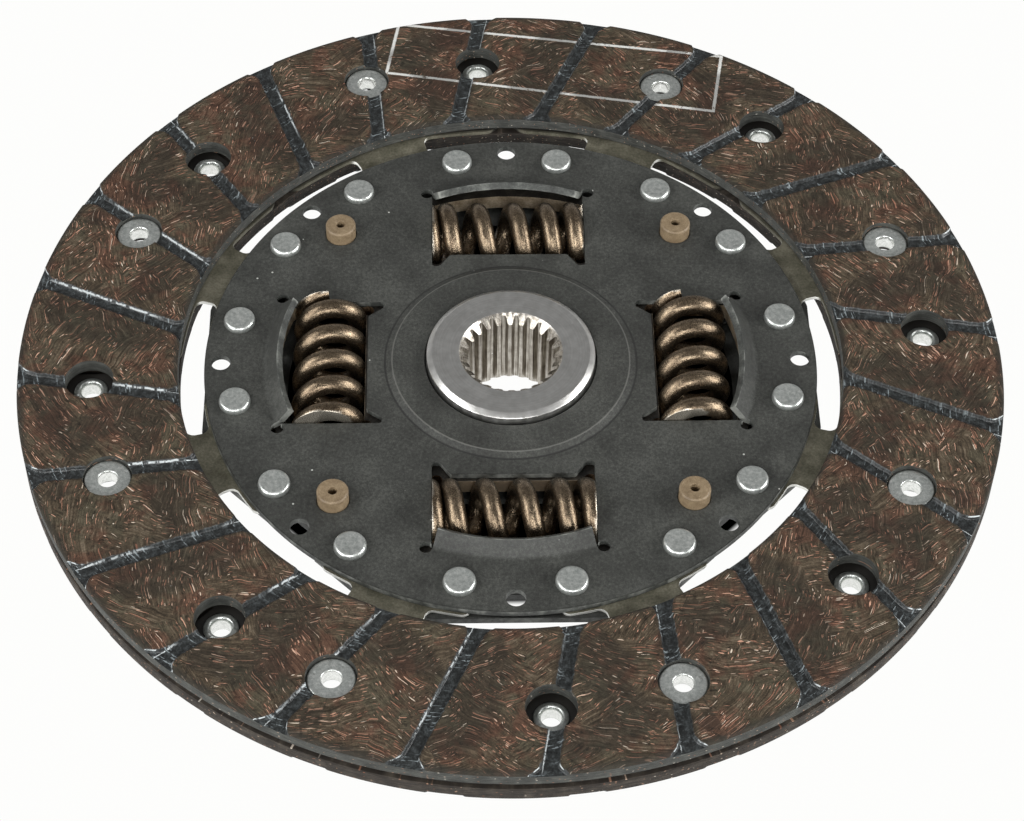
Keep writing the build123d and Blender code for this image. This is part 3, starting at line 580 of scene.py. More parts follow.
def groove_at(x, y):
    """(groove, along, across, offset from the edge line) of the nearest groove."""
    best = None
    a = math.degrees(math.atan2(y, x))
    k0 = int(math.floor((a - 6.0) / 15.0))
    for k in (k0 - 1, k0, k0 + 1, k0 + 2):
        p, u, L = FRAMES[k % 24]
        ex, ey = x - p[0], y - p[1]
        s = ex * u[0] + ey * u[1]
        n = -ex * u[1] + ey * u[0]
        if -3 < s < L + 3:
            side = 1.0 if n > 0 else -1.0
            o = abs(n) - 1.3 - flare(math.hypot(x, y)) - wob(k % 24, s, side)
            if best is None or o < best[3]:
                best = (k % 24, s, n, o)
    return best


HOLES = [(pol(R_FRIV, A_FRONT + 45 * k), "cbore") for k in range(8)] + [(pol(R_FRIV, A_REAR + 45 * k), "clear") for k in range(8)]


def top_z(x, y):
    r = math.hypot(x, y)
    z = min(lerp(r, OUT_R, OUT_Z), lerp(r, INN_R, INN_Z))
    gr = groove_at(x, y)
    if gr:
        z = min(z, lerp(gr[3], GR_O, GR_Z))
    for (hx, hy), _ in HOLES:
        d = abs(x - hx) + abs(y - hy)
        if d < 8:
            z = min(z, lerp(math.hypot(x - hx, y - hy), HO_D, HO_Z))
    return z


def circle_loop(pts, edges, cx, cy, r, n, phase=0.0):
    b = len(pts)
    for i in range(n):
        t = 2 * math.pi * (i + phase) / n
        pts.append(Vector((cx + r * math.cos(t), cy + r * math.sin(t))))
        edges.append((b + i, b + (i + 1) % n))


def beyond(x, y, cx, cy, r, n):
    """How far a point lies outside an n-sided loop of radius r."""
    t = 2 * math.pi / n
    a = math.atan2(y - cy, x - cx) % t - t / 2
    return math.hypot(x - cx, y - cy) * math.cos(a) - r * math.cos(t / 2)


def facing_bmesh(seed):
    rng = random.Random(seed)
    pts, edges = [], []
    for r in OUT_R:
        circle_loop(pts, edges, 0, 0, r, 540)
    for r in INN_R:
        circle_loop(pts, edges, 0, 0, r, 420)
    for (hx, hy), _ in HOLES:
        for d in HO_D:
            circle_loop(pts, edges, hx, hy, d, 72)
    ss = [0.3, 0.9, 1.5] + [1.8 + 0.22 * i for i in range(12)] + [4.6 + 0.8 * i for i in range(35)] + [32.4 + 0.25 * i for i in range(12)] + [35.6, 36.2]
    for k in range(24):
        p, u, L = FRAMES[k]
        for side in (-1.0, 1.0):
            for o in GR_O:
                b = len(pts)
                for s in ss:
                    # two passes settle the radius that the flare depends on
                    n = 1.3
                    for _ in range(3):
                        x, y = p[0] + u[0] * s - u[1] * n * side, p[1] + u[1] * s + u[0] * n * side
                        n = 1.3 + flare(math.hypot(x, y)) + wob(k, s, side) + o
                    pts.append(Vector((p[0] + u[0] * s - u[1] * n * side, p[1] + u[1] * s + u[0] * n * side)))
                for i in range(len(ss) - 1):
                    edges.append((b + i, b + i + 1))
        b = len(pts)
        for s in ss:
            pts.append(Vector((p[0] + u[0] * s, p[1] + u[1] * s)))
        for i in range(len(ss) - 1):
            edges.append((b + i, b + i + 1))
    vs, es, fs = delaunay_2d_cdt(pts, edges, [], 0, 1e-4, False)[:3]
    bm = bmesh.new()
    gz, ga, gw = (bm.verts.layers.float.new(n) for n in ("gz", "ga", "gw"))
    made = {}

    def vert(i):
        if i not in made:
            x, y = vs[i]
            v = bm.verts.new((x, y, top_z(x, y)))
            gr = groove_at(x, y)
            if gr and gr[3] < 3.0:
                v[gz] = lerp(gr[3], GR_O, [q / -0.9 for q in GR_Z])
                v[ga] = gr[1] + 50.0 * gr[0]
                v[gw] = gr[2]
            else:
                v[gw] = 4.0
            made[i] = v
        return made[i]

    for f in fs:
        cx = sum(vs[i][0] for i in f) / 3
        cy = sum(vs[i][1] for i in f) / 3
        if beyond(cx, cy, 0, 0, 100.0, 540) > 0 or beyond(cx, cy, 0, 0, 67.7, 420) < 0:
            continue
        if any(beyond(cx, cy, hx, hy, 4.9, 72) < 0 for (hx, hy), _ in HOLES):
            continue
        bm.faces.new([vert(i) for i in f])
    # the walls hang from the sheet's open edges
    todo = {e for e in bm.edges if len(e.link_faces) == 1}
    loops = []
    while todo:
        e = todo.pop()
        loop = [e.verts[0], e.verts[1]]
        while True:
            nxt = [q for q in loop[-1].link_edges if q in todo]
            if not nxt:
                break
            todo.discard(nxt[0])
            loop.append(nxt[0].other_vert(loop[-1]))
        if loop[0] is loop[-1]:
            loop.pop()
        loops.append(loop)
    bottoms = []
    for loop in loops:
        x, y = loop[0].co.x, loop[0].co.y
        r = math.hypot(x, y)
        if r > 99.9:
            c, plan = (0, 0), [(100.0, -1.25), (100.0, -3.2), (99.8, -3.5)]
        elif r < 67.8:
            c, plan = (0, 0), [(67.7, -1.3), (67.7, -3.25), (67.9, -3.5)]
        else:
            (c, kind) = min(HOLES, key=lambda h: math.hypot(h[0][0] - x, h[0][1] - y))
            if kind == "cbore":
                plan = [(4.9, -1.2), (4.9, -1.62), (4.78, -1.75), (2.68, -1.75), (2.55, -1.85), (2.55, -3.5)]
            else:
                plan = [(4.9, -1.25), (4.9, -3.4), (5.0, -3.5)]
        angs = [math.atan2(v.co.y - c[1], v.co.x - c[0]) for v in loop]
        prev = loop
        for rr, z in plan:
            cur = [bm.verts.new((c[0] + rr * math.cos(t), c[1] + rr * math.sin(t), z)) for t in angs]
            for v in cur:
                v[gw] = 4.0
            for i in range(len(loop)):
                j = (i + 1) % len(loop)
                q = bm.faces.new((prev[i], prev[j], cur[j], cur[i]))
                q.material_index = 1
            prev = cur
        bottoms.append(prev)
    bp, be, back = [], [], []
    for lp in bottoms:
        b = len(bp)
        for v in lp:
            bp.append(Vector((v.co.x, v.co.y)))
            back.append(v)
        be += [(b + i, b + (i + 1) % len(lp)) for i in range(len(lp))]
    vs2, _, fs2, ids = delaunay_2d_cdt(bp, be, [], 0, 1e-5, True)[:4]
    for f in fs2:
        cx = sum(vs2[i][0] for i in f) / 3
        cy = sum(vs2[i][1] for i in f) / 3
        if not 67.8 < math.hypot(cx, cy) < 99.9:
            continue
        if any(math.hypot(cx - h[0][0], cy - h[0][1]) < (2.54 if h[1] == "cbore" else 4.99) for h in HOLES):
            continue
        tri = [back[ids[i][0]] for i in f]
        if len(set(tri)) == 3:
            try:
                q = bm.faces.new(tri)
                q.material_index = 1
            except ValueError:
                pass
    bmesh.ops.recalc_face_normals(bm, faces=bm.faces)
    return bm


bm = facing_bmesh(1)
rear = bm.copy()
bmesh.ops.translate(bm, verts=bm.verts, vec=(0, 0, FACE_OUT))
finish_object("friction_ring_front", bm, [M["facing_front"], M["side_front"]], "disc", ["front_facing"], 34)
bmesh.ops.translate(rear, verts=rear.verts, vec=(0, 0, FACE_OUT))
bmesh.ops.rotate(rear, verts=rear.verts, cent=(0, 0, 0), matrix=Matrix.Rotation(math.pi, 3, "X"))
bmesh.ops.rotate(rear, verts=rear.verts, cent=(0, 0, 0), matrix=Matrix.Rotation(math.radians(A_FRONT + A_REAR), 3, "Z"))
finish_object("friction_ring_rear", rear, [M["facing_rear"], M["side_rear"]], "disc", ["rear_facing"], 34)


# --- lathe -----------------------------------------------------------------
def lathe(bm, prof, n, cx=0.0, cy=0.0, wobble=None, mat=0):
    """Closed solid of revolution about a vertical line at cx, cy. prof is [(r, z), ...]; r 0 closes with a cap point."""
    rings = []
    for r, z in prof:
        if r < 1e-6:
            rings.append([bm.verts.new((cx, cy, z))])
        else:
            ring = []
            for i in range(n):
                t = 2 * math.pi * i / n
                q = wobble(r, t) if wobble else 0.0
                ring.append(bm.verts.new((cx + (r + q) * math.cos(t), cy + (r + q) * math.sin(t), z)))
            rings.append(ring)
    faces = []
    pairs = list(zip(rings, rings[1:]))
    if len(rings[0]) > 1 and len(rings[-1]) > 1:
        pairs.append((rings[-1], rings[0]))
    for a, b in pairs:
        for i in range(n):
            j = (i + 1) % n
            if len(a) == 1:
                faces.append(bm.faces.new((a[0], b[j], b[i])))
            elif len(b) == 1:
                faces.append(bm.faces.new((a[i], a[j], b[0])))
            else:
                faces.append(bm.faces.new((a[i], a[j], b[j], b[i])))
    for f in faces:
        f.material_index = mat
    return faces


# plate rivets: low round heads with a shallow dish, upset on the back
rng = random.Random(5)
bm = bmesh.new()
for k in range(8):
    for s in (-1, 1):
        x, y = pol(56.84, 22.5 + 45 * k + s * 11.57)
        zt, zb = 1.9, -2.2
        ph = rng.random() * 6.28
        amp = 0.02 + 0.02 * rng.random()
        tx, ty = rng.uniform(-0.012, 0.012), rng.uniform(-0.012, 0.012)
        b0 = len(bm.verts)
        prof = [(0, zt + 1.36), (1.3, zt + 1.38), (2.15, zt + 1.44), (2.55, zt + 1.495), (2.72, zt + 1.485), (2.92, zt + 1.40),
                (3.12, zt + 1.18), (3.22, zt + 0.85), (3.25, zt + 0.5), (3.22, zt + 0.16), (3.12, zt), (2.5, zt), (2.5, zb),
                (3.12, zb), (3.2, zb - 0.15), (3.2, zb - 0.55), (3.05, zb - 0.85), (2.75, zb - 1.08), (2.2, zb - 1.2), (0, zb - 1.24)]
        lathe(bm, prof, 56, x, y, lambda r, t: (-amp if r > 2.3 else 0) * (1 + math.sin(2 * t + ph)) * 0.5)
        bm.verts.ensure_lookup_table()
        for v in bm.verts[b0:]:
            if v.co.z > zt + 1.0:
                v.co.z += min(0.0, (v.co.x - x) * tx + (v.co.y - y) * ty)
bmesh.ops.recalc_face_normals(bm, faces=bm.faces)
finish_object("plate_rivet_set", bm, [M["zinc"]], "disc", ["plate_rivets"], 40, False)


def facing_rivet_bmesh(angle, seed):
    """Hollow rivets: flat ring head with small staking marks, and a rolled tail whose crest is bright."""
    rng = random.Random(seed)
    bm = bmesh.new()
    z1, z0 = FACE_OUT - CBORE, FACE_IN - 0.8
    head = [(1.92, z1 + 0.26), (1.97, z1 + 0.37), (2.08, z1 + 0.455), (2.22, z1 + 0.495), (2.36, z1 + 0.485), (2.46, z1 + 0.465)]
    head += [(2.6 + 0.17 * i, z1 + 0.465 - 0.002 * i) for i in range(11)]
    head += [(4.42, z1 + 0.43), (4.55, z1 + 0.34), (4.61, z1 + 0.2), (4.6, z1 + 0.07), (4.5, z1), (2.45, z1)]
    tail = [(2.45, z0), (3.22, z0 - 0.10), (3.36, z0 - 0.16), (3.4, z0 - 0.24), (3.36, z0 - 0.33), (3.2, z0 - 0.43), (2.95, z0 - 0.53), (2.72, z0 - 0.61),
            (2.56, z0 - 0.69), (2.42, z0 - 0.715), (2.28, z0 - 0.67), (2.16, z0 - 0.56), (2.02, z0 - 0.32), (1.94, z0 - 0.08)]
    bore = [(1.9, z0 + 0.12), (1.9, z0 + 1.0), (1.9, z1 - 0.4), (1.9, z1 + 0.1)]
    prof = head + tail + bore
    nb = len(prof)
    for k in range(8):
        x, y = pol(R_FRIV, angle + 45 * k)
        ph = rng.random() * 6.28
        b0, f0 = len(bm.verts), len(bm.faces)
        n = 132
        lathe(bm, prof, n, x, y)
        bm.verts.ensure_lookup_table()
        bm.faces.ensure_lookup_table()
        for f in bm.faces[f0:]:
            c = f.calc_center_median()
            if math.hypot(c.x - x, c.y - y) < 1.96:
                f.material_index = 1
        marks = []
        for d in range(4):
            a = ph + d * math.pi / 2 + rng.uniform(-0.12, 0.12)
            for e in range(rng.choice((2, 3, 3))):
                t = a + (e - 1) * 0.16 + rng.uniform(-0.03, 0.03)
                rr = 3.75 + rng.uniform(-0.30, 0.22)
                marks.append((rr * math.cos(t), rr * math.sin(t), rng.uniform(0.20, 0.30), rng.choice((-0.14, 0.10, -0.12))))
        for v in bm.verts[b0:]:
            dx, dy = v.co.x - x, v.co.y - y
            r, t = math.hypot(dx, dy), math.atan2(dy, dx)
            if v.co.z < z0 - 0.3 and r > 2.6:
                # short creases of the rolled tail
                c = 0.5 + 0.5 * math.cos(8 * t + ph)
                v.co.z += 0.06 * max(0.0, c - 0.75) / 0.25
            if v.co.z > z1 + 0.4 and r > 2.5:
                for mx, my, mr, mh in marks:
                    w = math.hypot(dx - mx, dy - my)
                    if w < mr:
                        v.co.z += min(mh, z1 + 0.497 - v.co.z) * (1 - (w / mr) ** 2) if mh > 0 else mh * (1 - (w / mr) ** 2)
    bmesh.ops.recalc_face_normals(bm, faces=bm.faces)
    return bm


bm = facing_rivet_bmesh(A_FRONT, 21)
finish_object("ring_rivets_front", bm, [M["zinc"], M["bore"]], "disc", ["front_facing_rivets"], 40, False)
bm = facing_rivet_bmesh(-A_REAR, 22)
bmesh.ops.rotate(bm, verts=bm.verts, cent=(0, 0, 0), matrix=Matrix.Rotation(math.pi, 3, "X"))
finish_object("ring_rivets_rear", bm, [M["zinc"], M["bore"]], "disc", ["rear_facing_rivets"], 40, False)


# --- springs ---------------------------------------------------------------
def pchip(xs, ys):
    """Monotone cubic through the points; linear beyond the ends."""
    n = len(xs)
    h = [xs[i + 1] - xs[i] for i in range(n - 1)]
    d = [(ys[i + 1] - ys[i]) / h[i] for i in range(n - 1)]
    m = [d[0]] + [2 * d[i - 1] * d[i] / (d[i - 1] + d[i]) if d[i - 1] * d[i] > 0 else 0.0 for i in range(1, n - 1)] + [d[-1]]

    def f(x):
        if x <= xs[0]:
            return ys[0] + m[0] * (x - xs[0])
        if x >= xs[-1]:
            return ys[-1] + m[-1] * (x - xs[-1])
        i = max(j for j in range(n - 1) if xs[j] <= x)
        t = (x - xs[i]) / h[i]
        return ((1 + 2 * t) * (1 - t) ** 2 * ys[i] + t * (1 - t) ** 2 * h[i] * m[i]
                + t * t * (3 - 2 * t) * ys[i + 1] + t * t * (t - 1) * h[i] * m[i + 1])
    return f


def spring(name, node, along, first, crossings, quarter):
    """Right-hand coil spring with ground ends. crossings are the wire's places along the axis at angle first + 360 k.
    quarter turns the +Y spring onto its own window."""
    R, a, half, zc, pc = 5.65, 1.95, 16.0, -1.65, 37.15
    pos = pchip([first + 360 * i for i in range(len(crossings))], crossings)
    # start and end where the ground tip is about 0.8 mm thick
    lo, hi = first - 420, first + 360 * (len(crossings) - 1) + 420
    while pos(lo) - a < -half - 2 * a + 0.8:
        lo += 4
    while pos(hi) + a > half + 2 * a - 0.8:
        hi -= 4
    n, m = int((hi - lo) / 7.5), 22
    bm = bmesh.new()
    la, lr, lg = (bm.verts.layers.float.new(q) for q in ("along", "around", "ground"))
    rings = []
    for i in range(n + 1):
        s = lo + (hi - lo) * i / n
        t = math.radians(s)
        x = pos(s)
        dx = (pos(s + 1) - pos(s - 1)) / math.radians(2)
        c = Vector((x, R * math.cos(t), R * math.sin(t)))
        tan = Vector((dx, -R * math.sin(t), R * math.cos(t))).normalized()
        out = Vector((0, math.cos(t), math.sin(t)))
        bi = tan.cross(out).normalized()
        ring = []
        for j in range(m):
            q = 2 * math.pi * j / m
            v = bm.verts.new(c + out * (a * math.cos(q)) + bi * (a * math.sin(q)))
            v[la], v[lr] = R * t, q
            ring.append(v)
        rings.append(ring)
    for p, q in zip(rings, rings[1:]):
        for j in range(m):
            k = (j + 1) % m
            bm.faces.new((p[j], p[k], q[k], q[j]))
    bm.faces.new(rings[0][::-1])
    bm.faces.new(rings[-1])
    for sgn in (-1, 1):
        geom = list(bm.verts) + list(bm.edges) + list(bm.faces)
        res = bmesh.ops.bisect_plane(bm, geom=geom, dist=1e-5, plane_co=(sgn * half, 0, 0), plane_no=(sgn, 0, 0), clear_outer=True)
        cut = [e for e in res["geom_cut"] if isinstance(e, bmesh.types.BMEdge) and len(e.link_faces) == 1]
        new = bmesh.ops.contextual_create(bm, geom=cut)
        for f in new["faces"]:
            for v in f.verts:
                pass
    holes = [e for e in bm.edges if len(e.link_faces) == 1]
    if holes:
        bmesh.ops.holes_fill(bm, edges=holes, sides=0)
    bmesh.ops.recalc_face_normals(bm, faces=bm.faces)
    # ease the ground rim
    rim = [e for e in bm.edges if len(e.link_faces) == 2 and e.calc_face_angle(0.0) > math.radians(38)]
    bmesh.ops.bevel(bm, geom=rim, offset=0.10, segments=1, affect="EDGES", profile=0.5, clamp_overlap=True)
    for f in bm.faces:
        if abs(abs(f.calc_center_median().x) - half) < 0.02:
            for v in f.verts:
                v[lg] = 1.0
    bmesh.ops.translate(bm, verts=bm.verts, vec=(0, pc, zc))
    bmesh.ops.rotate(bm, verts=bm.verts, cent=(0, 0, 0), matrix=Matrix.Rotation(math.radians(90 * quarter), 3, "Z"))
    ob = finish_object(name, bm, [M["wire"]], "disc", [node], 40, False)
    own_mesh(ob)
    return ob


# angle is measured from the side away from the axis (+Y for the first), towards the top, with x increasing
spring("spring_north", "damper_spring_1", 0, 39, [-17.2, -13.3, -6.6, 1.0, 7.8, 13.2, 17.1], 0)
# the others are the same solid turned by quarter turns; their coils are listed in their own turned frame
spring("spring_west", "damper_spring_2", 0, 90, [-18.1, -14.8, -7.9, -1.0, 5.7, 12.5, 17.2], 1)
spring("spring_south", "damper_spring_3", 0, 141, [-18.2, -14.3, -8.9, -1.6, 5.7, 12.6, 16.5], 2)
spring("spring_east", "damper_spring_4", 0, 90, [-17.3, -12.8, -6.4, 0.8, 7.4, 14.3, 17.9], 3)


# --- pieces that keep the CAD's form, with eased edges ---------------------
def eased(name, node, mats, body, width, angle=28.0, segments=2, keep_angle=34.0, dissolve=0.6):
    src = nodes[node]
    bm = bmesh.new()
    bm.from_mesh(src.data)
    bmesh.ops.transform(bm, matrix=Matrix.Scale(1000.0, 4), verts=bm.verts)
    bmesh.ops.remove_doubles(bm, verts=bm.verts, dist=0.0015)
    for f in bm.faces:
        f.smooth = True
    bmesh.ops.dissolve_limit(bm, angle_limit=math.radians(dissolve), verts=bm.verts, edges=bm.edges, use_dissolve_boundaries=False)
    if width:
        sharp = [e for e in bm.edges if len(e.link_faces) == 2 and e.calc_face_angle(0.0) > math.radians(angle)]
        bmesh.ops.bevel(bm, geom=sharp, offset=width, offset_type="OFFSET", segments=segments, affect="EDGES", profile=0.5,
                        clamp_overlap=True, loop_slide=True, miter_outer="ARC")
    return finish_object(name, bm, mats, body, [node], keep_angle)


def cdt_sheet(bm, loops, contours, zfun):
    """Triangulated sheet between the first loop and the others (its holes). loops: [(points, dz list)]; contours:
    [(points, dz list, closed)]. z is zfun(x, y) plus the point's dz. Returns the loops' vertices."""
    pts, edges, dz = [], [], []
    starts = []
    for lp, d in loops:
        b = len(pts)
        starts.append(b)
        pts += [Vector(q) for q in lp]
        dz += list(d)
        edges += [(b + i, b + (i + 1) % len(lp)) for i in range(len(lp))]
    for lp, d, closed in contours:
        b = len(pts)
        pts += [Vector(q) for q in lp]
        dz += list(d)
        edges += [(b + i, b + (i + 1) % len(lp)) for i in range(len(lp) - (0 if closed else 1))]
    vs, es, fs, ids = delaunay_2d_cdt(pts, edges, [], 0, 1e-5, True)[:4]
    back = {}
    for o, src in enumerate(ids):
        for i in src:
            back[i] = o
    boxes = [(min(q[0] for q in lp), max(q[0] for q in lp), min(q[1] for q in lp), max(q[1] for q in lp)) for lp, _ in loops]

    def within(x, y, i):
        x0, x1, y0, y1 = boxes[i]
        if not (x0 <= x <= x1 and y0 <= y <= y1):
            return False
        lp = loops[i][0]
        c = False
        j = len(lp) - 1
        for k in range(len(lp)):
            if (lp[k][1] > y) != (lp[j][1] > y) and x < (lp[j][0] - lp[k][0]) * (y - lp[k][1]) / (lp[j][1] - lp[k][1]) + lp[k][0]:
                c = not c
            j = k
        return c

    made = {}

    def vert(o):
        if o not in made:
            x, y = vs[o]
            extra = dz[ids[o][0]] if ids[o] else 0.0
            made[o] = bm.verts.new((x, y, zfun(x, y) + extra))
        return made[o]

    for f in fs:
        cx, cy = sum(vs[i][0] for i in f) / 3, sum(vs[i][1] for i in f) / 3
        if not within(cx, cy, 0) or any(within(cx, cy, i) for i in range(1, len(loops))):
            continue
        bm.faces.new([vert(i) for i in f])
    return [[vert(back[b + i]) for i in range(len(lp))] for b, (lp, _) in zip(starts, loops)]


def ring_pts(cx, cy, r, n):
    return [(cx + r * math.cos(2 * math.pi * i / n), cy + r * math.sin(2 * math.pi * i / n)) for i in range(n)]


def turn(pts, a):
    c, s = math.cos(math.radians(a)), math.sin(math.radians(a))
    return [(x * c - y * s, x * s + y * c) for x, y in pts]


def offset(pts, d):
    """The closed loop moved d outwards (its own left or right is found from its area)."""
    area = sum(pts[i][0] * pts[(i + 1) % len(pts)][1] - pts[(i + 1) % len(pts)][0] * pts[i][1] for i in range(len(pts)))
    sg = 1.0 if area > 0 else -1.0
    out = []
    for i in range(len(pts)):
        (x0, y0), (x1, y1), (x2, y2) = pts[i - 1], pts[i], pts[(i + 1) % len(pts)]
        ax, ay, bx, by = x1 - x0, y1 - y0, x2 - x1, y2 - y1
        la, lb = math.hypot(ax, ay) or 1, math.hypot(bx, by) or 1
        nx, ny = ay / la + by / lb, -ax / la - bx / lb
        k = math.hypot(nx, ny)
        if k < 0.3:
            nx, ny, k = ay / la, -ax / la, 1.0
        m = min(1.6, 2.0 / k)
        out.append((x1 + sg * d * m * nx / k, y1 + sg * d * m * ny / k))
    return out


def rounded(corners, steps=5):
    """Closed outline from (x, y, radius) corners."""
    out = []
    n = len(corners)
    for i in range(n):
        x0, y0 = corners[i - 1][:2]
        x1, y1, r = corners[i]
        x2, y2 = corners[(i + 1) % n][:2]
        ax, ay, bx, by = x0 - x1, y0 - y1, x2 - x1, y2 - y1
        la, lb = math.hypot(ax, ay), math.hypot(bx, by)
        ax, ay, bx, by = ax / la, ay / la, bx / lb, by / lb
        if r <= 0:
            out.append((x1, y1))
            continue
        ang = math.acos(max(-1, min(1, ax * bx + ay * by)))
        t = min(r / math.tan(ang / 2), 0.48 * la, 0.48 * lb)
        p, q = (x1 + ax * t, y1 + ay * t), (x1 + bx * t, y1 + by * t)
        for j in range(steps + 1):
            w = j / steps
            out.append(((1 - w) ** 2 * p[0] + 2 * w * (1 - w) * x1 + w * w * q[0], (1 - w) ** 2 * p[1] + 2 * w * (1 - w) * y1 + w * w * q[1]))
    return out


def sheet_solid(bm, loops, ztop, zbot, top_c=(), bot_c=(), ch=0.14, wall_mat=0):
    """loops: [(points, fold flags or None)], outer loop first. Fold points keep their full height and get no wall, so
    that a lip can grow there. Returns the top and bottom vertices of each loop."""
    tl, tc, bl, bc = [], [], [], []
    for i, (lp, fold) in enumerate(loops):
        fold = fold or [False] * len(lp)
        tl.append((lp, [0.0 if q else -ch for q in fold]))
        bl.append((lp, [0.0 if q else ch * 0.7 for q in fold]))
        sg = -1.0 if i == 0 else 1.0
        for d, z in ((0.30 * ch, -0.32 * ch), (1.1 * ch, 0.0)):
            tc.append((offset(lp, sg * d), [0.0 if q else z for q in fold], True))
            bc.append((offset(lp, sg * d * 0.7), [0.0 if q else -z * 0.7 for q in fold], True))
    top = cdt_sheet(bm, tl, tc + list(top_c), ztop)
    bot = cdt_sheet(bm, bl, bc + list(bot_c), zbot)
    for (lp, fold), t, b in zip(loops, top, bot):
        n = len(lp)
        for i in range(n):
            j = (i + 1) % n
            if fold and fold[i] and fold[j]:
                continue
            q = bm.faces.new((t[i], t[j], b[j], b[i]))
            q.material_index = wall_mat
    return top, bot


def lip_rows(bm, top, bot, centre, zc, up, h, bend, angle, length, mat=0, ease=0.16):
    """A lip folded out of the sheet along the fold vertices top / bot, towards centre. up is +1 or -1."""
    th = math.radians(angle)
    rows = []
    for i in range(1, 9):
        q = th * i / 8
        rows.append(((bend - h) * math.sin(q), bend - (bend - h) * math.cos(q), 0))
    re, ze = bend * math.sin(th) + length * math.cos(th), bend - bend * math.cos(th) + length * math.sin(th)
    s, c = math.sin(th), math.cos(th)
    A, B = (re - h * s, ze + h * c), (re + h * s, ze - h * c)
    for d in (3.0, 2.0, 1.0):
        rows.append((A[0] - d * c * length / 4, A[1] - d * s * length / 4, 0))
    rows.append((A[0] - ease * c, A[1] - ease * s, 0))
    rows.append((A[0] - 0.3 * ease * c + 0.3 * ease * s, A[1] - 0.3 * ease * s - 0.3 * ease * c, 1))
    rows.append((A[0] + ease * s, A[1] - ease * c, 1))
    rows.append(((A[0] + B[0]) / 2, (A[1] + B[1]) / 2, 1))
    rows.append((B[0] - ease * s, B[1] + ease * c, 1))
    rows.append((B[0] - 0.3 * ease * s - 0.3 * ease * c, B[1] + 0.3 * ease * c - 0.3 * ease * s, 1))
    rows.append((B[0] - ease * c, B[1] - ease * s, 1))
    for i in range(8, 0, -1):
        q = th * i / 8
        rows.append(((bend + h) * math.sin(q), bend - (bend + h) * math.cos(q), 0))
    near, far = (top, bot) if up > 0 else (bot, top)
    prev = near
    made = []
    for rho, z, cut in rows:
        cur = []
        for v in near:
            dx, dy = centre[0] - v.co.x, centre[1] - v.co.y
            k = math.hypot(dx, dy)
            cur.append(bm.verts.new((v.co.x + dx / k * rho, v.co.y + dy / k * rho, zc + up * z)))
        for i in range(len(cur) - 1):
            q = bm.faces.new((prev[i], prev[i + 1], cur[i + 1], cur[i]))
            q.material_index = mat if cut else 0
        prev = cur
        made.append(cur)
    for i in range(len(prev) - 1):
        bm.faces.new((prev[i], prev[i + 1], far[i + 1], far[i]))
    for e in (0, -1):
        q = bm.faces.new([near[e]] + [m[e] for m in made] + [far[e]])
        q.material_index = mat


def step_z(r, rs, zs):
    return lerp(r, rs, zs)


# front damper plate
FP_RS, FP_ZS = (24.10, 24.32, 24.58, 25.36, 25.62, 25.86), (2.65, 2.60, 2.46, 2.06, 1.94, 1.90)
FB_RS, FB_ZS = (23.55, 23.85, 25.0, 25.25), (1.15, 1.10, 0.45, 0.40)
WIN = 16.15
fold_n = 40
fold_arc = [(16.07 - 32.14 * i / fold_n, 6.7 + math.sqrt(44.0 ** 2 - (16.07 - 32.14 * i / fold_n) ** 2)) for i in range(fold_n + 1)]
relief = [(17.25 + 1.3 * math.cos(math.radians(a)), 47.1 + 1.3 * math.sin(math.radians(a))) for a in range(-148, 149, 12)]
notch = rounded([(WIN, 36.0, 0), (WIN, 26.15, 1.15), (14.55, 26.15, 0.9), (12.35, 29.3, 0.6), (-12.35, 29.3, 0.6), (-14.55, 26.15, 0.9), (-WIN, 26.15, 1.15), (-WIN, 36.0, 0)], 6)
win_loop = relief + fold_arc + [(-x, y) for x, y in relief[::-1]] + notch[::-1]
win_fold = [False] * len(relief) + [True] * len(fold_arc) + [False] * (len(relief) + len(notch))
bm = bmesh.new()
loops = [(ring_pts(0, 0, 62.5, 480), None), (ring_pts(0, 0, 17.65, 160), None)]
for k in range(4):
    loops.append((turn(win_loop, 90 * k), win_fold))
for k in range(8):
    loops.append((ring_pts(*pol(59.2, 45 * k), 1.95, 40), None))
    for q in (-1, 1):
        loops.append((ring_pts(*pol(56.84, 22.5 + 45 * k + q * 11.57), 2.55, 24), None))
for k in range(4):
    loops.append((ring_pts(*pol(50.12, 45 + 90 * k), 3.28, 48), None))
tc = [(ring_pts(0, 0, r, 240), [0.0] * 240, True) for r in FP_RS]
tc += [(ring_pts(0, 0, r, 480), [z] * 480, True) for r, z in ((62.36, -0.10), (62.1, -0.035))]
bc = [(ring_pts(0, 0, r, 160), [0.0] * 160, True) for r in FB_RS]
top, bot = sheet_solid(bm, loops, lambda x, y: lerp(math.hypot(x, y), FP_RS, FP_ZS), lambda x, y: lerp(math.hypot(x, y), FB_RS, FB_ZS),
                       tc, bc, 0.15, 1)
for k in range(4):
    t, b = top[2 + k], bot[2 + k]
    i0 = len(relief)
    cx, cy = turn([(0, 6.7)], 90 * k)[0]
    lip_rows(bm, t[i0:i0 + fold_n + 1], b[i0:i0 + fold_n + 1], (cx, cy), 1.15, 1, 0.75, 2.0, 48.0, 3.32, 1)
bmesh.ops.recalc_face_normals(bm, faces=bm.faces)
finish_object("damper_plate_front", bm, [M["plate"], M["cut"]], "disc", ["front_plate"], 36)

# rear damper plate: dished, joggled rim with open notches
RT_RS, RT_ZS = (48.9, 49.3, 49.7, 50.1, 51.7, 52.1, 52.5, 52.95), (-5.4, -5.32, -5.05, -4.5, -1.75, -1.0, -0.55, -0.4)
RB_RS, RB_ZS = (49.9, 50.35, 50.8, 51.2, 52.75, 53.1, 53.6, 54.1), (-7.2, -7.1, -6.75, -6.1, -3.4, -2.75, -2.3, -2.2)
STUDS = [pol(50.12, 45 + 90 * k) for k in range(4)]


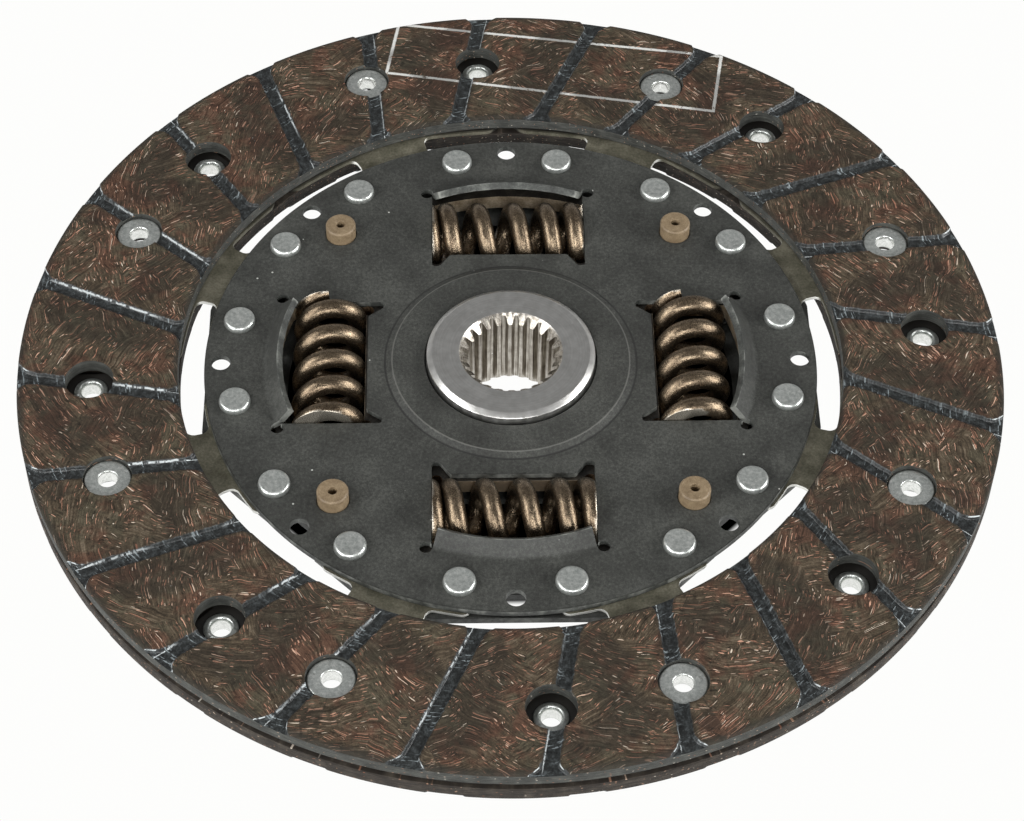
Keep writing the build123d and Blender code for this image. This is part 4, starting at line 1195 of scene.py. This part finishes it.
def rear_top(x, y):
    z = lerp(math.hypot(x, y), RT_RS, RT_ZS)
    for sx, sy in STUDS:
        d = math.hypot(x - sx, y - sy)
        if d < 3.93:
            z = min(z, -4.8)
    return z


def rear_bot(x, y):
    z = lerp(math.hypot(x, y), RB_RS, RB_ZS)
    for sx, sy in STUDS:
        d = math.hypot(x - sx, y - sy)
        if d < 5.71:
            z = min(z, lerp(d, (5.2, 5.45, 5.7), (-6.0, -5.9, z)))
    return z


# flats on each 45 degrees with an open notch; the one on -Y is a closed slot
corners = []
for k in range(8):
    d = 62.3 if k % 2 == 0 else 61.0
    c = math.sqrt(64.4 ** 2 - d * d)
    side = [(d, -c, 0.9)]
    if k != 6:
        side += [(d, -5.8, 0.3), (56.9, -5.8, 1.5), (56.9, 5.8, 1.5), (d, 5.8, 0.3)]
    side += [(d, c, 0.9)]
    ca, sa = math.cos(math.radians(45 * k)), math.sin(math.radians(45 * k))
    corners += [(x * ca - y * sa, x * sa + y * ca, q) for x, y, q in side]
    dn = 61.0 if k % 2 == 0 else 62.3
    a0 = 45 * k + math.degrees(math.asin(c / 64.4)) + 1.2
    a1 = 45 * (k + 1) - math.degrees(math.acos(dn / 64.4)) - 1.2
    corners += [(*pol(64.4, a0 + (a1 - a0) * i / 10), 0) for i in range(11)]
outer = rounded(corners, 5)
slot = turn(rounded([(56.9, -5.8, 1.5), (60.55, -5.8, 1.5), (60.55, 5.8, 1.5), (56.9, 5.8, 1.5)], 6), 270)
rf = 48.6
arc2 = [(15.85 - 31.7 * i / fold_n, math.sqrt(rf ** 2 - (15.85 - 31.7 * i / fold_n) ** 2)) for i in range(fold_n + 1)]
side2 = [(WIN, 34.0), (WIN, 46.0), (15.98, 46.12), (15.86, 46.0)]
notch2 = rounded([(WIN, 36.0, 0), (WIN, 27.8, 1.1), (14.5, 27.8, 0.8), (12.8, 30.0, 0.6), (-12.8, 30.0, 0.6), (-14.5, 27.8, 0.8), (-WIN, 27.8, 1.1), (-WIN, 36.0, 0)], 6)
side2 = [(WIN, 40.0), (WIN, 45.9), (16.0, 46.05)]
win2 = side2 + arc2 + [(-x, y) for x, y in side2[::-1]] + notch2[::-1]
fold2 = [False] * 3 + [True] * len(arc2) + [False] * (3 + len(notch2))
bm = bmesh.new()
loops = [(outer, None), (ring_pts(0, 0, 19.02, 160), None)]
for k in range(4):
    loops.append((turn(win2, 90 * k), fold2))
loops.append((slot, None))
for k in range(8):
    for q in (-1, 1):
        loops.append((ring_pts(*pol(56.84, 22.5 + 45 * k + q * 11.57), 2.55, 24), None))
tc = [(ring_pts(0, 0, r, 300), [0.0] * 300, True) for r in RT_RS]
bc = [(ring_pts(0, 0, r, 300), [0.0] * 300, True) for r in RB_RS]
for sx, sy in STUDS:
    tc += [(ring_pts(sx, sy, r, 48), [0.0] * 48, True) for r in (3.88, 3.98, 5.5, 5.7)]
    bc += [(ring_pts(sx, sy, r, 48), [0.0] * 48, True) for r in (5.2, 5.45, 5.7)]
top, bot = sheet_solid(bm, loops, rear_top, rear_bot, tc, bc, 0.15, 1)
for k in range(4):
    t, b = top[2 + k], bot[2 + k]
    lip_rows(bm, t[3:3 + fold_n + 1], b[3:3 + fold_n + 1], (0, 0), -6.3, -1, 0.9, 1.6, 50.0, 1.2, 1)
bmesh.ops.recalc_face_normals(bm, faces=bm.faces)
finish_object("damper_plate_rear", bm, [M["rear_plate"], M["cut_rear_shaded"]], "disc", ["rear_plate"], 36)

# hub flange: one thick sheet with four windows, four open notches and the seat for the hub
half = 8.0 + math.degrees(3.5 / 50.12)
outer = []
for k in range(4):
    a0 = 45 + 90 * k
    e0, e1 = pol(50.3, -half - 0.1), pol(50.3, half + 0.1)
    i0, i1 = pol(46.6, -half), pol(46.6, half)
    mid = [pol(46.6, -half + 2 * half * i / 10) for i in range(1, 10)]
    f0, f1 = pol(50.3, -half - 3.0), pol(50.3, half + 3.0)
    nt = rounded([(*f0, 0), (*e0, 0.8), (*i0, 1.3)] + [(*q, 0) for q in mid] + [(*i1, 1.3), (*e1, 0.8), (*f1, 0)], 5)[1:-1]
    outer += turn(nt, a0)
    b0, b1 = a0 + half + 1.2, a0 + 90 - half - 1.2
    outer += [pol(50.3, b0 + (b1 - b0) * i / 60) for i in range(61)]
fy = math.sqrt(47.75 ** 2 - WIN ** 2)
arc3 = [(15.4 - 30.8 * i / 30, math.sqrt(47.75 ** 2 - (15.4 - 30.8 * i / 30) ** 2)) for i in range(31)]
win3 = [(WIN, 36.0), (WIN, fy - 0.8), (WIN - 0.15, fy - 0.25)] + arc3 + [(-WIN + 0.15, fy - 0.25), (-WIN, fy - 0.8), (-WIN, 36.0)]
ear = [(15.25 + 1.2 * math.cos(math.radians(a)), 29.4 + 1.2 * math.sin(math.radians(a))) for a in range(41, -201, -20)]
win3 += [(-x, y) for x, y in ear] + ear[::-1]
teeth32 = []
for k in range(32):
    a = k * 11.25
    teeth32 += [pol(17.28, a - 3.65), pol(18.93, a - 2.4), pol(18.93, a), pol(18.93, a + 2.4), pol(17.28, a + 3.65), pol(17.28, a + 5.625)]
bm = bmesh.new()
loops = [(outer, None), (teeth32, None)] + [(turn(win3, 90 * k), None) for k in range(4)]
sheet_solid(bm, loops, lambda x, y: 0.1, lambda x, y: -3.4, (), (), 0.12, 0)
bmesh.ops.recalc_face_normals(bm, faces=bm.faces)
finish_object("hub_flange_plate", bm, [M["flange"]], "hub_body", ["hub_flange"], 36)

# hub: turned outside, splined bore with a mouth at each end, toothed seat
offs = (-7.5, -6.2, -5.2, -4.75, -4.2, -3.4, -2.75, -2.2, -1.5, 0.0, 1.5, 2.2, 2.75, 3.4, 4.2, 4.75, 5.2, 6.2)
rads = (8.70, 8.70, 8.71, 8.78, 9.02, 9.45, 9.80, 10.03, 10.09, 10.10, 10.09, 10.03, 9.80, 9.45, 9.02, 8.78, 8.71, 8.70)
angs, bore = [], []
for k in range(24):
    for o, q in zip(offs, rads):
        angs.append(7.5 + 15 * k + o)
        bore.append(q)


def seat(a):
    t = (a + 5.625) % 11.25 - 5.625
    return lerp(abs(t), (2.3, 3.5), (18.9, 17.25))


rows = []
rows.append([(b, 4.8 - (10.65 - b) - 0.12) for b in bore])
rows.append([(b + 0.05, 4.8 - (10.65 - b) + 0.02) for b in bore])
rows.append([(10.58, 4.74)] * len(angs))
for r, z in ((10.66, 4.785), (10.78, 4.8), (13.4, 4.8), (15.92, 4.8), (16.08, 4.78), (16.20, 4.715), (17.10, 4.15), (17.20, 4.06), (17.25, 3.92), (17.25, 2.0), (17.25, 0.1)):
    rows.append([(r, z)] * len(angs))
rows.append([(max(17.26, seat(a) - 0.1), 0.1) for a in angs])
rows.append([(max(17.27, seat(a)), 0.0) for a in angs])
rows.append([(max(17.27, seat(a)), -3.3) for a in angs])
rows.append([(max(17.26, seat(a) - 0.1), -3.4) for a in angs])
for r, z in ((17.25, -3.4), (17.25, -9.0), (17.25, -14.35), (17.20, -14.5), (16.55, -15.18), (16.4, -15.27), (16.2, -15.3), (10.48, -15.3), (10.38, -15.285)):
    rows.append([(r, z)] * len(angs))
rows.append([(10.31, -15.24)] * len(angs))
rows.append([(b + 0.04, -15.3 + (10.3 - b) + 0.02) for b in bore])
rows.append([(b, -15.3 + (10.3 - b) + 0.10) for b in bore])
bm = bmesh.new()
grid = [[bm.verts.new((q[0] * math.cos(math.radians(a)), q[0] * math.sin(math.radians(a)), q[1])) for a, q in zip(angs, row)] for row in rows]
grid.append(grid[0])
for p, q in zip(grid, grid[1:]):
    for i in range(len(angs)):
        j = (i + 1) % len(angs)
        bm.faces.new((p[i], p[j], q[j], q[i]))
bmesh.ops.recalc_face_normals(bm, faces=bm.faces)
finish_object("hub_core", bm, [M["hub"]], "hub_body", ["hub"], 33)

eased("friction_carrier_ring", "friction_carrier", [M["tan"]], "disc", 0.12)
for i in range(1, 9):
    eased(f"cushion_sheet_{i}", f"cushion_segment_{i}", [M["segment"]], "disc", 0.10, 40.0, 2, 34.0, 0.3)
for node, key, body in (("front_friction_ring", "black", "disc"), ("disc_spring", "disc_spring", "disc"), ("rear_bush", "black", "disc")):
    o = nodes[node]
    o.data.materials.clear()
    o.data.materials.append(M[key])


# ============================================================ floor, light
def floor_material():
    m = bpy.data.materials.new("floor_light_table")
    m.use_nodes = True
    nt = m.node_tree
    nt.nodes.clear()
    out = nt.nodes.new("ShaderNodeOutputMaterial")
    em = nt.nodes.new("ShaderNodeEmission")
    tc = nt.nodes.new("ShaderNodeTexCoord")
    ln = nt.nodes.new("ShaderNodeVectorMath")
    ln.operation = "LENGTH"
    # painted shadow: the light table's glow is switched off in an ellipse under the dished plate, but kept in a disc
    # under the bore
    off = nt.nodes.new("ShaderNodeVectorMath")
    off.operation = "SUBTRACT"
    off.inputs[1].default_value = (0.0, 0.0035, 0.0)
    sc = nt.nodes.new("ShaderNodeVectorMath")
    sc.operation = "MULTIPLY"
    sc.inputs[1].default_value = (1 / 0.0595, 1 / 0.0518, 0.0)
    nt.links.new(tc.outputs["Object"], off.inputs[0])
    nt.links.new(off.outputs[0], sc.inputs[0])
    nt.links.new(sc.outputs[0], ln.inputs[0])
    mr = nt.nodes.new("ShaderNodeMapRange")
    mr.interpolation_type = "SMOOTHSTEP"
    nt.links.new(ln.outputs[1], mr.inputs[0])
    mr.inputs[1].default_value, mr.inputs[2].default_value = 0.986, 1.016
    mr.inputs[3].default_value, mr.inputs[4].default_value = 0.0, 0.985
    l2 = nt.nodes.new("ShaderNodeVectorMath")
    l2.operation = "LENGTH"
    nt.links.new(tc.outputs["Object"], l2.inputs[0])
    mb = nt.nodes.new("ShaderNodeMapRange")
    nt.links.new(l2.outputs[1], mb.inputs[0])
    mb.inputs[1].default_value, mb.inputs[2].default_value = 0.0145, 0.0150
    mb.inputs[3].default_value, mb.inputs[4].default_value = 0.985, 0.0
    mx = nt.nodes.new("ShaderNodeMath")
    mx.operation = "MAXIMUM"
    nt.links.new(mr.outputs[0], mx.inputs[0])
    nt.links.new(mb.outputs[0], mx.inputs[1])
    nt.links.new(mx.outputs[0], em.inputs["Strength"])
    em.inputs["Color"].default_value = (1.0, 1.0, 0.988, 1.0)
    # the table has one side only, so the disc's back can be seen from below
    geo = nt.nodes.new("ShaderNodeNewGeometry")
    clear = nt.nodes.new("ShaderNodeBsdfTransparent")
    one = nt.nodes.new("ShaderNodeMixShader")
    nt.links.new(geo.outputs["Backfacing"], one.inputs[0])
    nt.links.new(em.outputs[0], one.inputs[1])
    nt.links.new(clear.outputs[0], one.inputs[2])
    nt.links.new(one.outputs[0], out.inputs[0])
    return m


bm = bmesh.new()
n = 96
rings = [[bm.verts.new((r * math.cos(2 * math.pi * i / n), r * math.sin(2 * math.pi * i / n), 0)) for i in range(n)] for r in (0.06, 0.15, 0.6, 4.0)]
bm.faces.new(rings[0])
for a, b in zip(rings, rings[1:]):
    for i in range(n):
        j = (i + 1) % n
        bm.faces.new((a[i], b[i], b[j], a[j]))
me = bpy.data.meshes.new("floor")
bm.to_mesh(me)
bm.free()
floor = bpy.data.objects.new("floor", me)
floor.location = (0, 0, -0.0153)
me.materials.append(floor_material())
scene.collection.objects.link(floor)

world = bpy.data.worlds.new("studio")
scene.world = world
world.use_nodes = True
wt = world.node_tree
bg = wt.nodes["Background"]
tcw = wt.nodes.new("ShaderNodeTexCoord")
sep = wt.nodes.new("ShaderNodeSeparateXYZ")
wt.links.new(tcw.outputs["Generated"], sep.inputs[0])
wr = wt.nodes.new("ShaderNodeValToRGB")
wt.links.new(sep.outputs[2], wr.inputs[0])
els = wr.color_ramp.elements
els[0].position, els[0].color = 0.0, (0.95, 0.95, 0.94, 1)
els[1].position, els[1].color = 1.0, (0.30, 0.30, 0.30, 1)
for pos, v in ((0.12, 0.80), (0.30, 0.27), (0.60, 0.21), (0.77, 0.36), (0.90, 0.24)):
    e = els.new(pos)
    e.color = (v, v, v, 1)
wt.links.new(wr.outputs[0], bg.inputs[0])
bg.inputs[1].default_value = 1.0


def softbox(name, a, b, width, watts, off=1.15):
    """A long soft box whose middle line runs from direction a to direction b, off metres away, facing the disc."""
    pa, pb = Vector(a).normalized() * off, Vector(b).normalized() * off
    mid = (pa + pb) / 2
    y = (pb - pa).normalized()
    z = mid.normalized()
    z = (z - y * z.dot(y)).normalized()
    x = y.cross(z)
    li = bpy.data.lights.new(name, "AREA")
    li.shape = "RECTANGLE"
    li.size, li.size_y = width, (pb - pa).length
    li.energy = watts
    ob = bpy.data.objects.new(name, li)
    ob.matrix_world = Matrix(((x.x, y.x, z.x, mid.x), (x.y, y.y, z.y, mid.y), (x.z, y.z, z.z, mid.z), (0, 0, 0, 1)))
    scene.collection.objects.link(ob)
    return ob


softbox("softbox_left", (-0.66, 0.10, 0.78), (-0.66, -0.74, 0.10), 0.30, 9.0)
softbox("softbox_right", (0.84, 0.20, 0.60), (0.86, -0.50, 0.08), 0.30, 11.0)
softbox("softbox_near", (-0.34, -0.84, 0.50), (0.34, -0.84, 0.50), 0.20, 7.0)

scene.view_settings.view_transform = "Standard"
scene.view_settings.look = "None"

cam = bpy.data.cameras.new("camera")
co = bpy.data.objects.new("camera", cam)
scene.collection.objects.link(co)
cam.lens = 95.304
cam.sensor_width = 36.0
cam.sensor_fit = "HORIZONTAL"
cam.clip_start = 0.01
cam.clip_end = 20
r = Vector((0.999813, -0.017210, 0.008852))
u = Vector((0.007772, 0.775958, 0.630737))
f = Vector((0.017724, 0.630550, -0.775946))
co.matrix_world = Matrix(((r.x, u.x, -f.x, -0.009663), (r.y, u.y, -f.y, -0.357329), (r.z, u.z, -f.z, 0.425291), (0, 0, 0, 1)))
scene.camera = co
